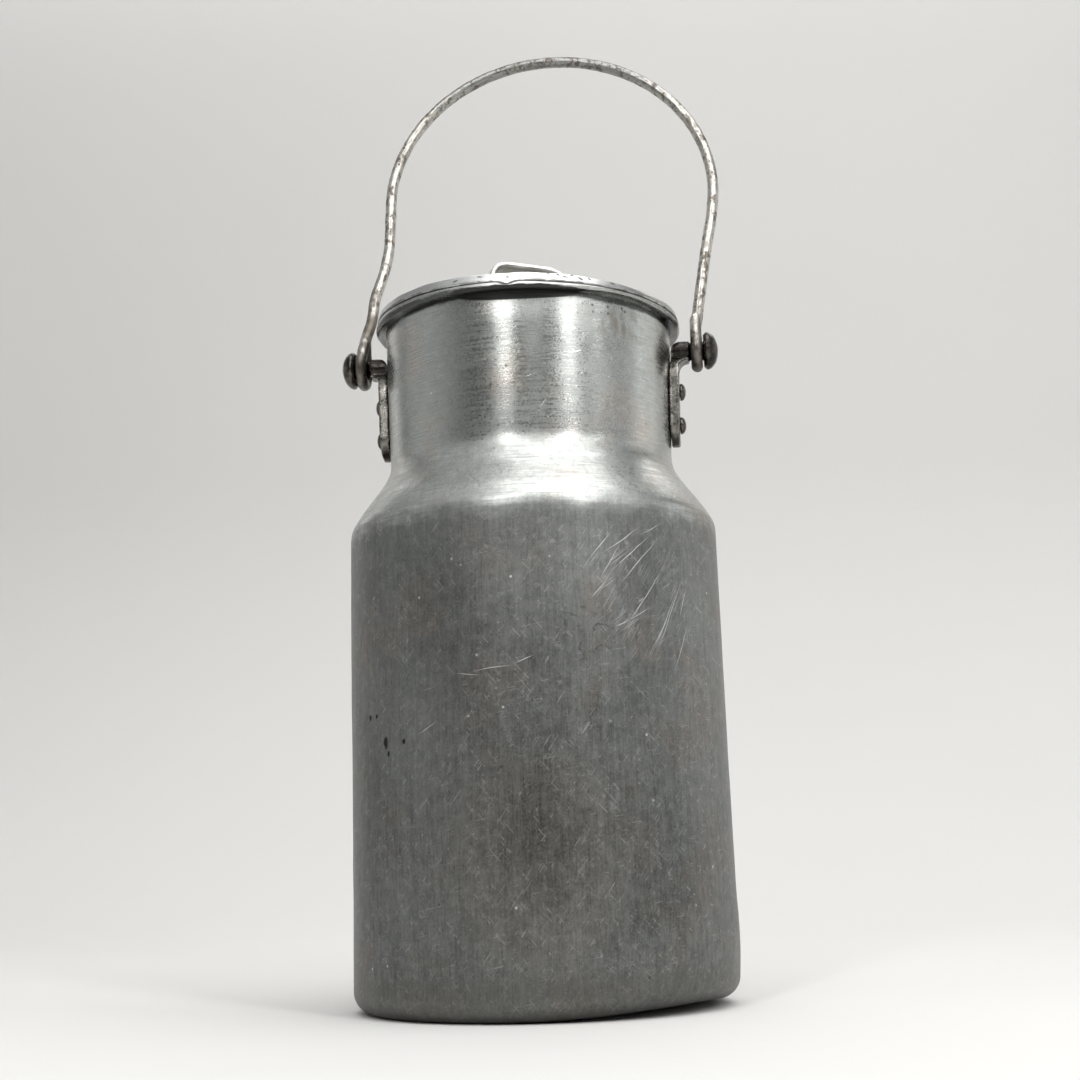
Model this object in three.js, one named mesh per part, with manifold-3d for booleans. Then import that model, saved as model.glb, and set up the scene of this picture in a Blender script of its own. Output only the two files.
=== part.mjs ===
// A two-litre aluminium milk can with a plug lid, riveted steel ears and a swinging wire bail.
// Millimetres, +Z up. The origin is the centre of the base, on the surface the can stands on, and
// the two ears lie on the X axis. The bail is shown raised, leaning a little towards +Y.

import * as THREE from "three";
import { mergeVertices } from "three/addons/utils/BufferGeometryUtils.js";
import Module from "manifold-3d";

const wasm = await Module();
wasm.setup();

// ---- Driving dimensions -------------------------------------------------------------------------

const sheet = 1.0; // aluminium sheet of the can and of its lid
const gap = 0.3; // air left between pieces that touch
const cutMargin = 3; // how far a cutting shape runs past the metal it cuts

// Can shell: straight wall, S-shaped shoulder, slightly flared neck, rolled mouth bead.
const bodyRadius = 62.5;
const wallTop = 153.9;
const neckBottom = 181.1;
const mouthTop = 230.7;
const neckRadiusLow = 48.6;
const neckRadiusHigh = 49.9;
const beadRadius = 53.2;
const beadHeight = 2.7;
const cornerRadius = 6.8;
const basePanelRadius = 42; // the middle of the base is pressed up
const basePanelRise = 2.0;
const basePanelSlope = 4.0;

// Lid: a pressed pan that plugs the neck, hung from a flange with a rolled edge.
const plugDepth = 13.5;
const plugClearance = 0.45;
const lidEdgeRadius = 53.2;
const lidEdgeHeight = 2.6;
const lidFlangeRise = 1.3; // the top of the flange, above its underside
const lidPanelRadius = 33; // the middle of the pan is pressed up, under the handle
const lidPanelRise = 3.4;
const panCorner = 2.5;

// Lid handle: a strap bent to an arch with two feet, turned a little from the line of the ears.
const handleTop = 255.8;
const handleWidth = 13;
const handleThickness = 2.2;
const handleHalfBar = 13.5;
const handleHalfStance = 17.5;
const handleFoot = 13;
const rivetAlongFoot = 7.8; // from the foot's bend out to its rivet
const footBend = 3.2;
const tightBend = 4.5; // the left end of the bar
const wideBend = 7; // the right end of the bar
const handleSag = 1.2; // the right end of the bar is bent down a little
const handleTurn = THREE.MathUtils.degToRad(20);

// Ears: a strap riveted to the neck, bent out into a round stud with a mushroom head.
const studHeight = 219.4;
const studRadius = 3.0;
const elbowHalfHeight = 3.6;
const elbowRadius = 4.0;
const elbowFillet = 3.0;
const elbowEnd = 56.3;
const earTipRadius = 3.8; // the ear's rounded top, seen from outside
const earShoulderDrop = 10; // where the strap starts to narrow, below the stud's axis
const earShoulder = [[1, 0], [0.92, 2.4], [0.72, 4.6]]; // share of the half width, height
const studRoot = 2; // how far the stud is sunk into the elbow
const headStart = 61.3;
const headEnd = 66.3;
const headRim = 1.0;
const headRadius = 6.65;
const strapWidth = 15;
const strapThickness = 2.8;
const upperRivetDrop = 14.4; // below the stud's axis
const rivetPitch = 12;

// Rivets: a domed head outside, and an end clenched over a washer inside the neck.
const shankRadius = 1.6;
const rivetHeadRadius = 3.0;
const rivetHeadHeight = 2.0;
const clenchRadius = 2.8;
const clenchHeight = 1.3;
const washerRadius = 3.8;
const washerThickness = 0.8;

// Bail: one steel wire, an eye bent round each stud and a round crown that sits a little to +X.
const wireRadius = 2.0;
const eyeX = 58.9;
const eyeRadius = 5.35; // from the stud's axis to the middle of the wire
const strandOffset = 2.2; // half the distance between the two strands above an eye
const strandHeight = 9.5; // where the two strands come together, above the stud's axis
const tipHeight = 13; // the wire's cut end, above the stud's axis
const crownRadius = 59.2;
const crownX = 8.4;
const crownHeight = 66.2; // the middle of the crown's arc, above the stud's axis
const bailLean = THREE.MathUtils.degToRad(10);

// The bends of each leg, upwards: how far it has come in X from its eye, its Y, and its height
// above the stud's axis. The left leg is the straighter one up to the lid's edge.
const rightLegBends = [[0.7, 1.6, 14], [2.0, 0.7, 22], [5.0, 0, 40]];
const leftLegBends = [
  [1.1, -strandOffset, 12],
  [2.6, -1.6, 18],
  [3.6, -1.1, 27.5],
  [6.1, -0.7, 37],
  [7.9, -0.2, 47],
];

const shellSegments = 56;
const smallSegments = 14;
const wireSides = 8;

// ---- Materials ----------------------------------------------------------------------------------

const metal = (color, roughness) => new THREE.MeshStandardMaterial({ color, roughness, metalness: 1 });
const agedAluminium = metal(0x8f918f, 0.45);
const lidAluminium = metal(0xa2a4a3, 0.42);
const rivetAluminium = metal(0x9a9a98, 0.4);
const blackenedSteel = metal(0x3f3a36, 0.4);
const wornSteelWire = metal(0x8b8475, 0.38);

// ---- Helpers ------------------------------------------------------------------------------------

const point = (x, y) => new THREE.Vector2(x, y);
const smoothstep = (s) => s * s * (3 - 2 * s);

// Points on an arc, or on a quarter of an ellipse, between two angles in degrees.
function arc(x, y, radius, from, to, steps, radiusY = radius) {
  const points = [];
  for (let i = 0; i <= steps; i++) {
    const angle = THREE.MathUtils.degToRad(from + ((to - from) * i) / steps);
    points.push(point(x + radius * Math.cos(angle), y + radiusY * Math.sin(angle)));
  }
  return points;
}

// The unit direction of a line at one of its points, averaged over the two sides of the point.
function directionAt(line, i) {
  const direction = point(0, 0);
  if (i > 0) direction.add(line[i].clone().sub(line[i - 1]).normalize());
  if (i < line.length - 1) direction.add(line[i + 1].clone().sub(line[i]).normalize());
  return direction.normalize();
}

// The same line moved to its left, so that a sheet keeps its thickness on slopes.
function offsetLeft(line, distance) {
  return line.map((here, i) => {
    const direction = directionAt(line, i);
    return point(here.x - direction.y * distance, here.y + direction.x * distance);
  });
}

// A solid of revolution about Z. Its profile is (radius, height) points, upwards on the outside.
function revolve(profile, segments) {
  const geometry = new THREE.LatheGeometry(profile, segments);
  geometry.rotateX(Math.PI / 2);
  return geometry;
}

// A solid of revolution about a line along X at a height. Its profile is (radius, x) points.
function revolveAboutX(profile, height) {
  const geometry = new THREE.LatheGeometry(profile, smallSegments);
  geometry.rotateZ(-Math.PI / 2);
  geometry.translate(0, 0, height);
  return geometry;
}

// The profile of a plain pin, for cutting a hole.
function pinProfile(radius, from, to) {
  return [point(0, from), point(radius, from), point(radius, to), point(0, to)];
}

// An outline drawn in X and Z, extruded along Y and centred on it.
function plateAlongY(outline, width) {
  const options = { depth: width, bevelEnabled: false };
  const geometry = new THREE.ExtrudeGeometry(new THREE.Shape(outline), options);
  geometry.translate(0, 0, -width / 2);
  geometry.rotateX(Math.PI / 2);
  return geometry;
}

// An outline drawn in Y and Z, extruded along X from one place to another.
function plateAlongX(outline, from, to) {
  const depth = to - from;
  const geometry = new THREE.ExtrudeGeometry(new THREE.Shape(outline), { depth, bevelEnabled: false });
  geometry.translate(0, 0, from);
  geometry.rotateX(Math.PI / 2);
  geometry.rotateZ(Math.PI / 2);
  return geometry;
}

function toSolid(geometry) {
  const bare = geometry.clone();
  bare.deleteAttribute("normal");
  bare.deleteAttribute("uv");
  const merged = mergeVertices(bare, 1e-4);
  const vertProperties = merged.attributes.position.array;
  const triVerts = new Uint32Array(merged.index.array);
  return new wasm.Manifold(new wasm.Mesh({ numProp: 3, vertProperties, triVerts }));
}

function toGeometry(solid) {
  const mesh = solid.getMesh();
  const geometry = new THREE.BufferGeometry();
  geometry.setAttribute("position", new THREE.BufferAttribute(mesh.vertProperties, 3));
  geometry.setIndex(new THREE.BufferAttribute(mesh.triVerts, 1));
  geometry.computeVertexNormals();
  return geometry;
}

// ---- Shared places ------------------------------------------------------------------------------

const neckFlare = (neckRadiusHigh - neckRadiusLow) / (mouthTop - neckBottom);
const neckRadiusAt = (z) => neckRadiusLow + neckFlare * (z - neckBottom);
const strapFaceAt = (z) => neckRadiusAt(z) + gap + strapThickness;
const rivetHeight = {
  upper: studHeight - upperRivetDrop,
  lower: studHeight - upperRivetDrop - rivetPitch,
};
const lidSeat = mouthTop + gap; // underside of the lid's rolled edge
const panBottom = lidSeat - plugDepth;
const panelUnder = panBottom + lidPanelRise;
const panelTop = panelUnder + sheet;
const footTop = panelTop + gap + handleThickness;
const lidRivetX = handleHalfStance + rivetAlongFoot;

// ---- Can shell ----------------------------------------------------------------------------------

// The outer face of the can, from the middle of the base up to the underside of the bead.
function canOuterLine() {
  const shoulderSteps = 9;
  const line = [
    point(0, basePanelRise),
    point(basePanelRadius, basePanelRise),
    point(basePanelRadius + basePanelSlope, 0),
    ...arc(bodyRadius - cornerRadius, cornerRadius, cornerRadius, -90, 0, 5),
  ];
  for (let i = 0; i <= shoulderSteps; i++) {
    const s = i / shoulderSteps;
    const radius = bodyRadius + (neckRadiusLow - bodyRadius) * smoothstep(s);
    line.push(point(radius, wallTop + (neckBottom - wallTop) * s));
  }
  const neckEnd = mouthTop - beadHeight;
  line.push(point(neckRadiusAt(neckEnd), neckEnd));
  return line;
}

function canBody() {
  const outer = canOuterLine();
  const inner = offsetLeft(outer, sheet).reverse();
  const round = beadHeight / 2;
  const bead = [
    ...arc(beadRadius - round, mouthTop - round, round, -90, 90, 5),
    point(neckRadiusHigh, mouthTop),
    point(neckRadiusHigh - sheet, mouthTop - sheet),
  ];
  let shell = toSolid(revolve([...outer, ...bead, ...inner], shellSegments));
  for (const height of Object.values(rivetHeight)) {
    const reach = neckRadiusHigh + cutMargin;
    const drill = pinProfile(shankRadius + gap, -reach, reach);
    shell = shell.subtract(toSolid(revolveAboutX(drill, height)));
  }
  return toGeometry(shell);
}

// ---- Lid ----------------------------------------------------------------------------------------

// The underside of the lid, from its middle out to the flange.
function lidUnderLine() {
  const plugRadiusHigh = neckRadiusHigh - sheet - plugClearance;
  const plugRadiusLow = neckRadiusAt(panBottom) - sheet - plugClearance;
  return [
    point(0, panelUnder),
    point(lidPanelRadius, panelUnder),
    point(lidPanelRadius + lidPanelRise, panBottom),
    ...arc(plugRadiusLow - panCorner, panBottom + panCorner, panCorner, -90, 0, 3),
    point(plugRadiusHigh, lidSeat - sheet),
    point(plugRadiusHigh + sheet, lidSeat),
  ];
}

function lidCap() {
  const under = lidUnderLine();
  const top = offsetLeft(under, sheet).reverse();
  const round = lidEdgeHeight / 2;
  const edge = arc(lidEdgeRadius - round, lidSeat + round, round, -90, 90, 5);
  const flange = point(lidEdgeRadius - 2 * round, lidSeat + lidFlangeRise);
  let cap = toSolid(revolve([...under, ...edge, flange, ...top], shellSegments));
  for (const side of [-1, 1]) {
    const drill = revolve(pinProfile(shankRadius + gap, panBottom, footTop), smallSegments);
    drill.translate(side * lidRivetX, 0, 0);
    drill.rotateZ(handleTurn);
    cap = cap.subtract(toSolid(drill));
  }
  return toGeometry(cap);
}

// The middle line of the handle's strap in X and Z, from one foot over the arch to the other.
function handleLine() {
  const low = panelTop + gap + handleThickness / 2;
  const high = handleTop - handleThickness / 2;
  const end = handleHalfStance + handleFoot;
  return [
    point(-end, low),
    ...arc(-handleHalfStance - footBend, low + footBend, footBend, -90, -8, 4),
    ...arc(-handleHalfBar + tightBend, high - tightBend, tightBend, 172, 90, 5),
    ...arc(handleHalfBar - wideBend, high - handleSag - wideBend, wideBend, 84, 8, 6),
    ...arc(handleHalfStance + footBend, low + footBend, footBend, 188, 270, 4),
    point(end, low),
  ];
}

function lidHandle() {
  const line = handleLine();
  const upper = offsetLeft(line, handleThickness / 2);
  const lower = offsetLeft(line, -handleThickness / 2).reverse();
  let handle = toSolid(plateAlongY([...upper, ...lower], handleWidth));
  for (const side of [-1, 1]) {
    const drill = revolve(pinProfile(shankRadius + gap, panelTop, footTop + gap), smallSegments);
    drill.translate(side * lidRivetX, 0, 0);
    handle = handle.subtract(toSolid(drill));
  }
  return toGeometry(handle);
}

// A rivet's profile along its own axis: the clenched end first, then the shank and the domed head.
function rivetProfile(clenchAt, headAt) {
  return [
    ...arc(0, clenchAt, clenchRadius, -90, 0, 4, clenchHeight),
    point(shankRadius, clenchAt),
    point(shankRadius, headAt),
    ...arc(0, headAt, rivetHeadRadius, 0, 90, 4, rivetHeadHeight),
  ];
}

function lidRivet() {
  return revolve(rivetProfile(panelUnder - gap, footTop + gap), smallSegments);
}

// ---- Ears ---------------------------------------------------------------------------------------

// The ear seen from the side, in X and Z: strap, elbow and the root of the stud.
function earSideOutline() {
  const bottom = rivetHeight.lower - strapWidth / 2;
  const back = neckRadiusLow - cutMargin / 2;
  const elbowLow = studHeight - elbowHalfHeight;
  const face = strapFaceAt(elbowLow - elbowFillet);
  const top = studHeight + elbowHalfHeight;
  return [
    point(back, bottom),
    point(strapFaceAt(bottom), bottom),
    ...arc(face + elbowFillet, elbowLow - elbowFillet, elbowFillet, 180, 90, 4),
    point(elbowEnd, elbowLow),
    point(elbowEnd, top),
    ...arc(neckRadiusHigh + elbowRadius, top - elbowRadius, elbowRadius, 90, 180, 4),
    point(back, top - elbowRadius),
  ];
}

// The ear seen from outside, in Y and Z: a round lower end, and shoulders drawn in to the stud.
function earFrontOutline() {
  const half = strapWidth / 2;
  const shoulder = studHeight - earShoulderDrop;
  const right = earShoulder.map(([share, rise]) => point(share * half, shoulder + rise));
  const left = right.map((p) => point(-p.x, p.y)).reverse();
  return [
    ...arc(0, rivetHeight.lower, half, 180, 360, 8),
    ...right,
    ...arc(0, studHeight, earTipRadius, -40, 220, 8),
    ...left,
  ];
}

// The round stud and its mushroom head, in one piece with the ear.
function studProfile() {
  return [
    point(0, elbowEnd - studRoot),
    point(studRadius, elbowEnd - studRoot),
    point(studRadius, headStart),
    point(headRadius - headRim, headStart),
    ...arc(0, headStart + headRim, headRadius, 0, 90, 5, headEnd - headStart - headRim),
  ];
}

// The neck and the air round it, which the back of the strap follows.
function neckClearance() {
  const low = neckBottom;
  const high = mouthTop - beadHeight;
  const profile = [
    point(0, low),
    point(neckRadiusAt(low) + gap, low),
    point(neckRadiusAt(high) + gap, high),
    point(0, high),
  ];
  return revolve(profile, shellSegments);
}

function ear() {
  const side = toSolid(plateAlongY(earSideOutline(), strapWidth + cutMargin));
  const front = toSolid(plateAlongX(earFrontOutline(), neckRadiusLow - cutMargin, elbowEnd + cutMargin));
  const stud = toSolid(revolveAboutX(studProfile(), studHeight));
  let forging = side.intersect(front).subtract(toSolid(neckClearance())).add(stud);
  for (const height of Object.values(rivetHeight)) {
    const drill = pinProfile(shankRadius + gap, neckRadiusLow - cutMargin, headEnd);
    forging = forging.subtract(toSolid(revolveAboutX(drill, height)));
  }
  return toGeometry(forging);
}

// The outer face of a washer that lies against the hollow inside of the neck.
function washerFaceAt(z) {
  const inside = neckRadiusAt(z) - sheet;
  return Math.sqrt(inside * inside - washerRadius * washerRadius) - gap;
}

function earRivet(height) {
  const clenchAt = washerFaceAt(height) - washerThickness - gap;
  return revolveAboutX(rivetProfile(clenchAt, strapFaceAt(height) + gap), height);
}

function rivetWasher(height) {
  const outer = washerFaceAt(height);
  const inner = outer - washerThickness;
  const hole = shankRadius + gap;
  const profile = [
    point(hole, inner),
    point(washerRadius, inner),
    point(washerRadius, outer),
    point(hole, outer),
    point(hole, inner),
  ];
  return revolveAboutX(profile, height);
}

// ---- Bail ---------------------------------------------------------------------------------------

// A curve whose steps follow its points, so that they lie close together where the points do.
class PointPacedCurve extends THREE.CatmullRomCurve3 {
  getUtoTmapping(u) {
    return u;
  }
}

// The wire round one stud, from the strand on the -Y side, under the stud, to the +Y side.
function eyePoints(x) {
  const points = [];
  for (let degrees = 50; degrees <= 310; degrees += 20) {
    const angle = THREE.MathUtils.degToRad(degrees);
    points.push(new THREE.Vector3(x, -eyeRadius * Math.sin(angle), eyeRadius * Math.cos(angle)));
  }
  return points;
}

function crownPoints() {
  const points = arc(crownX, crownHeight, crownRadius, -8, 184, 16);
  return points.map((p) => new THREE.Vector3(p.x, 0, p.y));
}

// The middle of the wire, from the stud's axis, with the crown straight above.
function bailCurve() {
  const at = (x, y, z) => new THREE.Vector3(x, y, z);
  return new PointPacedCurve([
    at(eyeX, -strandOffset, tipHeight),
    at(eyeX, -strandOffset, strandHeight),
    ...eyePoints(eyeX),
    at(eyeX, strandOffset, strandHeight),
    ...rightLegBends.map(([x, y, z]) => at(eyeX + x, y, z)),
    ...crownPoints(),
    ...leftLegBends.map(([x, y, z]) => at(-eyeX + x, y, z)).reverse(),
    ...eyePoints(-eyeX),
    at(-eyeX, strandOffset, strandHeight),
    at(-eyeX, strandOffset, tipHeight),
  ]);
}

function bail() {
  const extrudePath = bailCurve();
  const steps = 2 * (extrudePath.points.length - 1);
  const section = new THREE.Shape(arc(0, 0, wireRadius, 0, 360, wireSides).slice(0, -1));
  return new THREE.ExtrudeGeometry(section, { extrudePath, steps });
}

// ---- Assembly -----------------------------------------------------------------------------------

const milkCan = new THREE.Group();

function addPiece(parent, name, geometry, material) {
  const mesh = new THREE.Mesh(geometry, material);
  mesh.name = name;
  parent.add(mesh);
  return mesh;
}

addPiece(milkCan, "can_body", canBody(), agedAluminium);

for (const [side, turn] of [["right", 0], ["left", Math.PI]]) {
  const earGroup = new THREE.Group();
  earGroup.rotation.z = turn;
  milkCan.add(earGroup);
  addPiece(earGroup, `ear_${side}`, ear(), blackenedSteel);
  for (const [level, height] of Object.entries(rivetHeight)) {
    addPiece(earGroup, `ear_rivet_${side}_${level}`, earRivet(height), blackenedSteel);
    addPiece(earGroup, `rivet_washer_${side}_${level}`, rivetWasher(height), blackenedSteel);
  }
}

addPiece(milkCan, "lid_cap", lidCap(), lidAluminium);

const handleGroup = new THREE.Group();
handleGroup.rotation.z = handleTurn;
milkCan.add(handleGroup);
addPiece(handleGroup, "lid_handle", lidHandle(), lidAluminium);
for (const [side, sign] of [["right", 1], ["left", -1]]) {
  const rivet = addPiece(handleGroup, `lid_rivet_${side}`, lidRivet(), rivetAluminium);
  rivet.position.x = sign * lidRivetX;
}

const bailGroup = new THREE.Group();
bailGroup.position.z = studHeight;
bailGroup.rotation.x = -bailLean;
milkCan.add(bailGroup);
addPiece(bailGroup, "bail", bail(), wornSteelWire);

export default milkCan;
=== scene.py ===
"""The looks of an old two-litre aluminium milk can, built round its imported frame.

Lengths are millimetres until a mesh is made, when they become metres. The can stands on Z = 0 about the
Z axis, with its ears on the X axis and its front towards -Y.
"""

import math

import bpy
from mathutils import Matrix, Vector, noise


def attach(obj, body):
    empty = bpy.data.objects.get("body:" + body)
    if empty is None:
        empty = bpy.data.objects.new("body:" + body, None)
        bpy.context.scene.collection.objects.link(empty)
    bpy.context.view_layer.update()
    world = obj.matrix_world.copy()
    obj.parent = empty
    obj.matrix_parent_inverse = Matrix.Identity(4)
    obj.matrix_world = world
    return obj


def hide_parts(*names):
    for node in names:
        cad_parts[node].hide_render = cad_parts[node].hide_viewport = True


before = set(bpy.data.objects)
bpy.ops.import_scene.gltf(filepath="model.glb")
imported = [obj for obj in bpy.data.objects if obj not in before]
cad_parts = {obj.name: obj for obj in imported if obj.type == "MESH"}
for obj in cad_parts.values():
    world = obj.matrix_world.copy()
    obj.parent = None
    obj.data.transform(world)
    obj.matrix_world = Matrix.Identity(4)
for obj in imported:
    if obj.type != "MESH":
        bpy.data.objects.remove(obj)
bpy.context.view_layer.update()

# ---- Driving dimensions, the frame's own but for the handle's top -----------------------------------

SHEET = 1.0
GAP = 0.3
BODY_RADIUS = 62.5
WALL_TOP = 153.9
NECK_BOTTOM = 181.1
MOUTH_TOP = 230.7
NECK_RADIUS_LOW = 48.6
NECK_RADIUS_HIGH = 49.9
BEAD_RADIUS = 53.2
BEAD_HEIGHT = 2.7
CORNER_RADIUS = 6.8
BASE_PANEL_RADIUS = 42.0
BASE_PANEL_RISE = 2.0
BASE_PANEL_SLOPE = 4.0

PLUG_DEPTH = 13.5
PLUG_CLEARANCE = 0.45
LID_EDGE_HEIGHT = 2.6
LID_PANEL_RADIUS = 33.0
LID_PANEL_RISE = 3.4
PAN_CORNER = 2.5

HANDLE_TOP = 253.8  # the frame's handle is 2 mm higher; this one is pressed down by use
HANDLE_WIDTH = 13.0
HANDLE_THICKNESS = 2.2
HANDLE_HALF_BAR = 13.5
HANDLE_HALF_STANCE = 17.5
HANDLE_FOOT = 13.0
HANDLE_SAG = 1.2
HANDLE_FOOT_BEND = 3.2
HANDLE_TIGHT_BEND = 4.5
HANDLE_WIDE_BEND = 7.0
HANDLE_CORNER = 1.02
HANDLE_TURN = math.radians(20)

STUD_HEIGHT = 219.4
STUD_RADIUS = 3.0
ELBOW_HALF_HEIGHT = 3.6
ELBOW_RADIUS = 4.0
ELBOW_FILLET = 3.0
ELBOW_END = 56.3
HEAD_START = 61.3
HEAD_END = 66.3
HEAD_RIM = 1.0
HEAD_RADIUS = 6.65
EAR_SHOULDER_DROP = 10.0
STRAP_WIDTH = 15.0
STRAP_THICKNESS = 2.8
RIVET_HEIGHT = {"upper": 205.0, "lower": 193.0}
SHANK_RADIUS = 1.6
RIVET_HEAD_RADIUS = 3.0
RIVET_HEAD_HEIGHT = 2.0
CLENCH_RADIUS = 2.8
CLENCH_HEIGHT = 1.3
WASHER_RADIUS = 3.8
WASHER_THICKNESS = 0.8

WIRE_RADIUS = 2.0
EYE_X = 58.9
EYE_RADIUS = 5.35
STRAND_OFFSET = 2.2
STRAND_HEIGHT = 9.5
TIP_HEIGHT = 13.0
CROWN_RADIUS = 59.2
CROWN_X = 8.4
CROWN_HEIGHT = 66.2
BAIL_LEAN = math.radians(10)

LID_SEAT = MOUTH_TOP + GAP
PAN_BOTTOM = LID_SEAT - PLUG_DEPTH
PANEL_UNDER = PAN_BOTTOM + LID_PANEL_RISE
PANEL_TOP = PANEL_UNDER + SHEET
FOOT_TOP = PANEL_TOP + GAP + HANDLE_THICKNESS
LID_RIVET_X = HANDLE_HALF_STANCE + HANDLE_FOOT * 0.6

# ---- Detail ---------------------------------------------------------------------------------------

NOISE_LOW = 0.3
NOISE_HIGH = 0.7
ROUND_SEGMENTS = 288
SMALL_SEGMENTS = 56
WIRE_SIDES = 26
WIRE_STEP = 0.85
FORGING_VOXEL = 0.32
FORGING_SOFTENED = 9
WALL_STEP = 2.4

# ---- Small mathematics ----------------------------------------------------------------------------


def smooth(value, low, high):
    """0 below low, 1 above high, and a smooth step between them, whichever of the two is larger."""
    s = min(max((value - low) / (high - low), 0.0), 1.0)
    return s * s * (3 - 2 * s)


def bell(value, centre, width):
    """A smooth hill, 1 at its centre."""
    return math.exp(-(((value - centre) / width) ** 2))


def angle_from(x, y, centre):
    """Degrees round Z from a centre direction, between -180 and 180."""
    return (math.degrees(math.atan2(y, x)) - centre + 180) % 360 - 180


def bell_round(x, y, direction, width):
    """A smooth hill round Z, 1 in a direction. Both are in degrees."""
    return bell(angle_from(x, y, direction), 0.0, width)


def ripple(x, y, z, size, seed):
    """Soft unevenness, about -1 to 1, with lumps of about a given size in mm."""
    return noise.noise(Vector((x / size + seed, y / size - seed, z / size + 2 * seed)))


def neck_radius(z):
    flare = (NECK_RADIUS_HIGH - NECK_RADIUS_LOW) / (MOUTH_TOP - NECK_BOTTOM)
    return NECK_RADIUS_LOW + flare * (z - NECK_BOTTOM)


def strap_face(z):
    return neck_radius(z) + GAP + STRAP_THICKNESS


def arc(x, y, radius, start, end, steps, radius_y=None):
    """Points on an arc, or on a part of an ellipse, between two angles in degrees."""
    radius_y = radius if radius_y is None else radius_y
    points = []
    for i in range(steps + 1):
        a = math.radians(start + (end - start) * i / steps)
        points.append((x + radius * math.cos(a), y + radius_y * math.sin(a)))
    return points


def offset_left(line, distance):
    """The same line moved to its left by a distance."""
    moved = []
    for i, (x, y) in enumerate(line):
        before = line[max(i - 1, 0)]
        after = line[min(i + 1, len(line) - 1)]
        dx, dy = after[0] - before[0], after[1] - before[1]
        length = math.hypot(dx, dy)
        moved.append((x - dy / length * distance, y + dx / length * distance))
    return moved


def subdivided(line, step):
    """The same line with no part of it longer than a step."""
    points = [line[0]]
    for (x0, y0), (x1, y1) in zip(line, line[1:]):
        count = max(1, math.ceil(math.hypot(x1 - x0, y1 - y0) / step))
        for i in range(1, count + 1):
            points.append((x0 + (x1 - x0) * i / count, y0 + (y1 - y0) * i / count))
    return points


def eased(line, passes):
    """The same line with its kinks spread out. Its ends stay where they are."""
    for _ in range(passes):
        middle = [
            (0.25 * (a[0] + c[0]) + 0.5 * b[0], 0.25 * (a[1] + c[1]) + 0.5 * b[1])
            for a, b, c in zip(line, line[1:], line[2:])
        ]
        line = [line[0]] + middle + [line[-1]]
    return line


# ---- Meshes ---------------------------------------------------------------------------------------


def metres(lengths):
    return tuple(0.001 * length for length in lengths)


def make_object(name, vertices, faces):
    """A bare object from vertices in mm."""
    mesh = bpy.data.meshes.new(name)
    mesh.from_pydata([metres(v) for v in vertices], [], faces)
    mesh.update()
    made = bpy.data.objects.new(name, mesh)
    bpy.context.scene.collection.objects.link(made)
    return made


def make_piece(name, vertices, faces, material, crease=40):
    """An object shaded smooth but for edges sharper than a crease angle."""
    piece = make_object(name, vertices, faces)
    piece.data.shade_smooth()
    piece.data.set_sharp_from_angle(angle=math.radians(crease))
    piece.data.materials.append(material)
    return piece


def revolve(profile, segments, warp=None):
    """Vertices and faces of a solid of revolution about Z.

    The profile is (radius, height) points from the axis back to the axis, upwards on the outside, or a
    closed loop that never meets the axis. The warp moves each point (x, y, z).
    """
    vertices, faces, rings = [], [], []
    closed = profile[0][0] > 1e-6
    for radius, height in profile:
        if radius < 1e-6:
            rings.append([len(vertices)])
            vertices.append((0.0, 0.0, height))
            continue
        rings.append(list(range(len(vertices), len(vertices) + segments)))
        for i in range(segments):
            a = 2 * math.pi * i / segments
            vertices.append((radius * math.cos(a), radius * math.sin(a), height))
    pairs = list(zip(rings, rings[1:]))
    if closed:
        pairs.append((rings[-1], rings[0]))
    for low, high in pairs:
        for i in range(segments):
            j = (i + 1) % segments
            if len(low) == 1:
                faces.append((low[0], high[j], high[i]))
            elif len(high) == 1:
                faces.append((low[i], low[j], high[0]))
            else:
                faces.append((low[i], low[j], high[j], high[i]))
    if warp:
        vertices = [warp(*v) for v in vertices]
    return vertices, faces


def prism(outline, low, high, place):
    """Vertices and faces of an outline extruded between two depths. place(a, b, depth) gives a point."""
    count = len(outline)
    vertices = [place(a, b, low) for a, b in outline] + [place(a, b, high) for a, b in outline]
    faces = [tuple(range(count)), tuple(range(2 * count - 1, count - 1, -1))]
    for i in range(count):
        j = (i + 1) % count
        faces.append((i, i + count, j + count, j))
    return vertices, faces


def sweep(path, section_at):
    """Vertices and faces of a section carried along a path without twisting.

    section_at(i) gives (side, up) points for the path's point i, the same number of them everywhere.
    The first frame's up is near +Z.
    """
    vertices, faces = [], []
    up = Vector((0.0, 0.0, 1.0))
    count = len(section_at(0))
    for i, here in enumerate(path):
        ahead = path[min(i + 1, len(path) - 1)]
        behind = path[max(i - 1, 0)]
        along = (ahead - behind).normalized()
        side = along.cross(up)
        if side.length < 1e-3:
            side = along.cross(Vector((0.0, 1.0, 0.0)))
        side.normalize()
        up = side.cross(along).normalized()
        section = section_at(i)
        if len(section) != count:
            raise ValueError(f"section {i} has {len(section)} points, and the first has {count}")
        for a, b in section:
            vertices.append(tuple(here + side * a + up * b))
    for i in range(len(path) - 1):
        for k in range(count):
            m = (k + 1) % count
            faces.append((i * count + k, i * count + m, (i + 1) * count + m, (i + 1) * count + k))
    faces.append(tuple(range(count - 1, -1, -1)))
    faces.append(tuple(range(len(vertices) - count, len(vertices))))
    return vertices, faces


def about_x(height, turn=0.0):
    """A placement of a solid made about Z, so that its axis lies along X at a height."""
    lay_down = Matrix.Rotation(math.radians(90), 4, "Y")
    return Matrix.Rotation(turn, 4, "Z") @ Matrix.Translation((0, 0, height)) @ lay_down


def placed(vertices, matrix):
    return [tuple(matrix @ Vector(v)) for v in vertices]


# ---- Node graphs ----------------------------------------------------------------------------------


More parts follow.
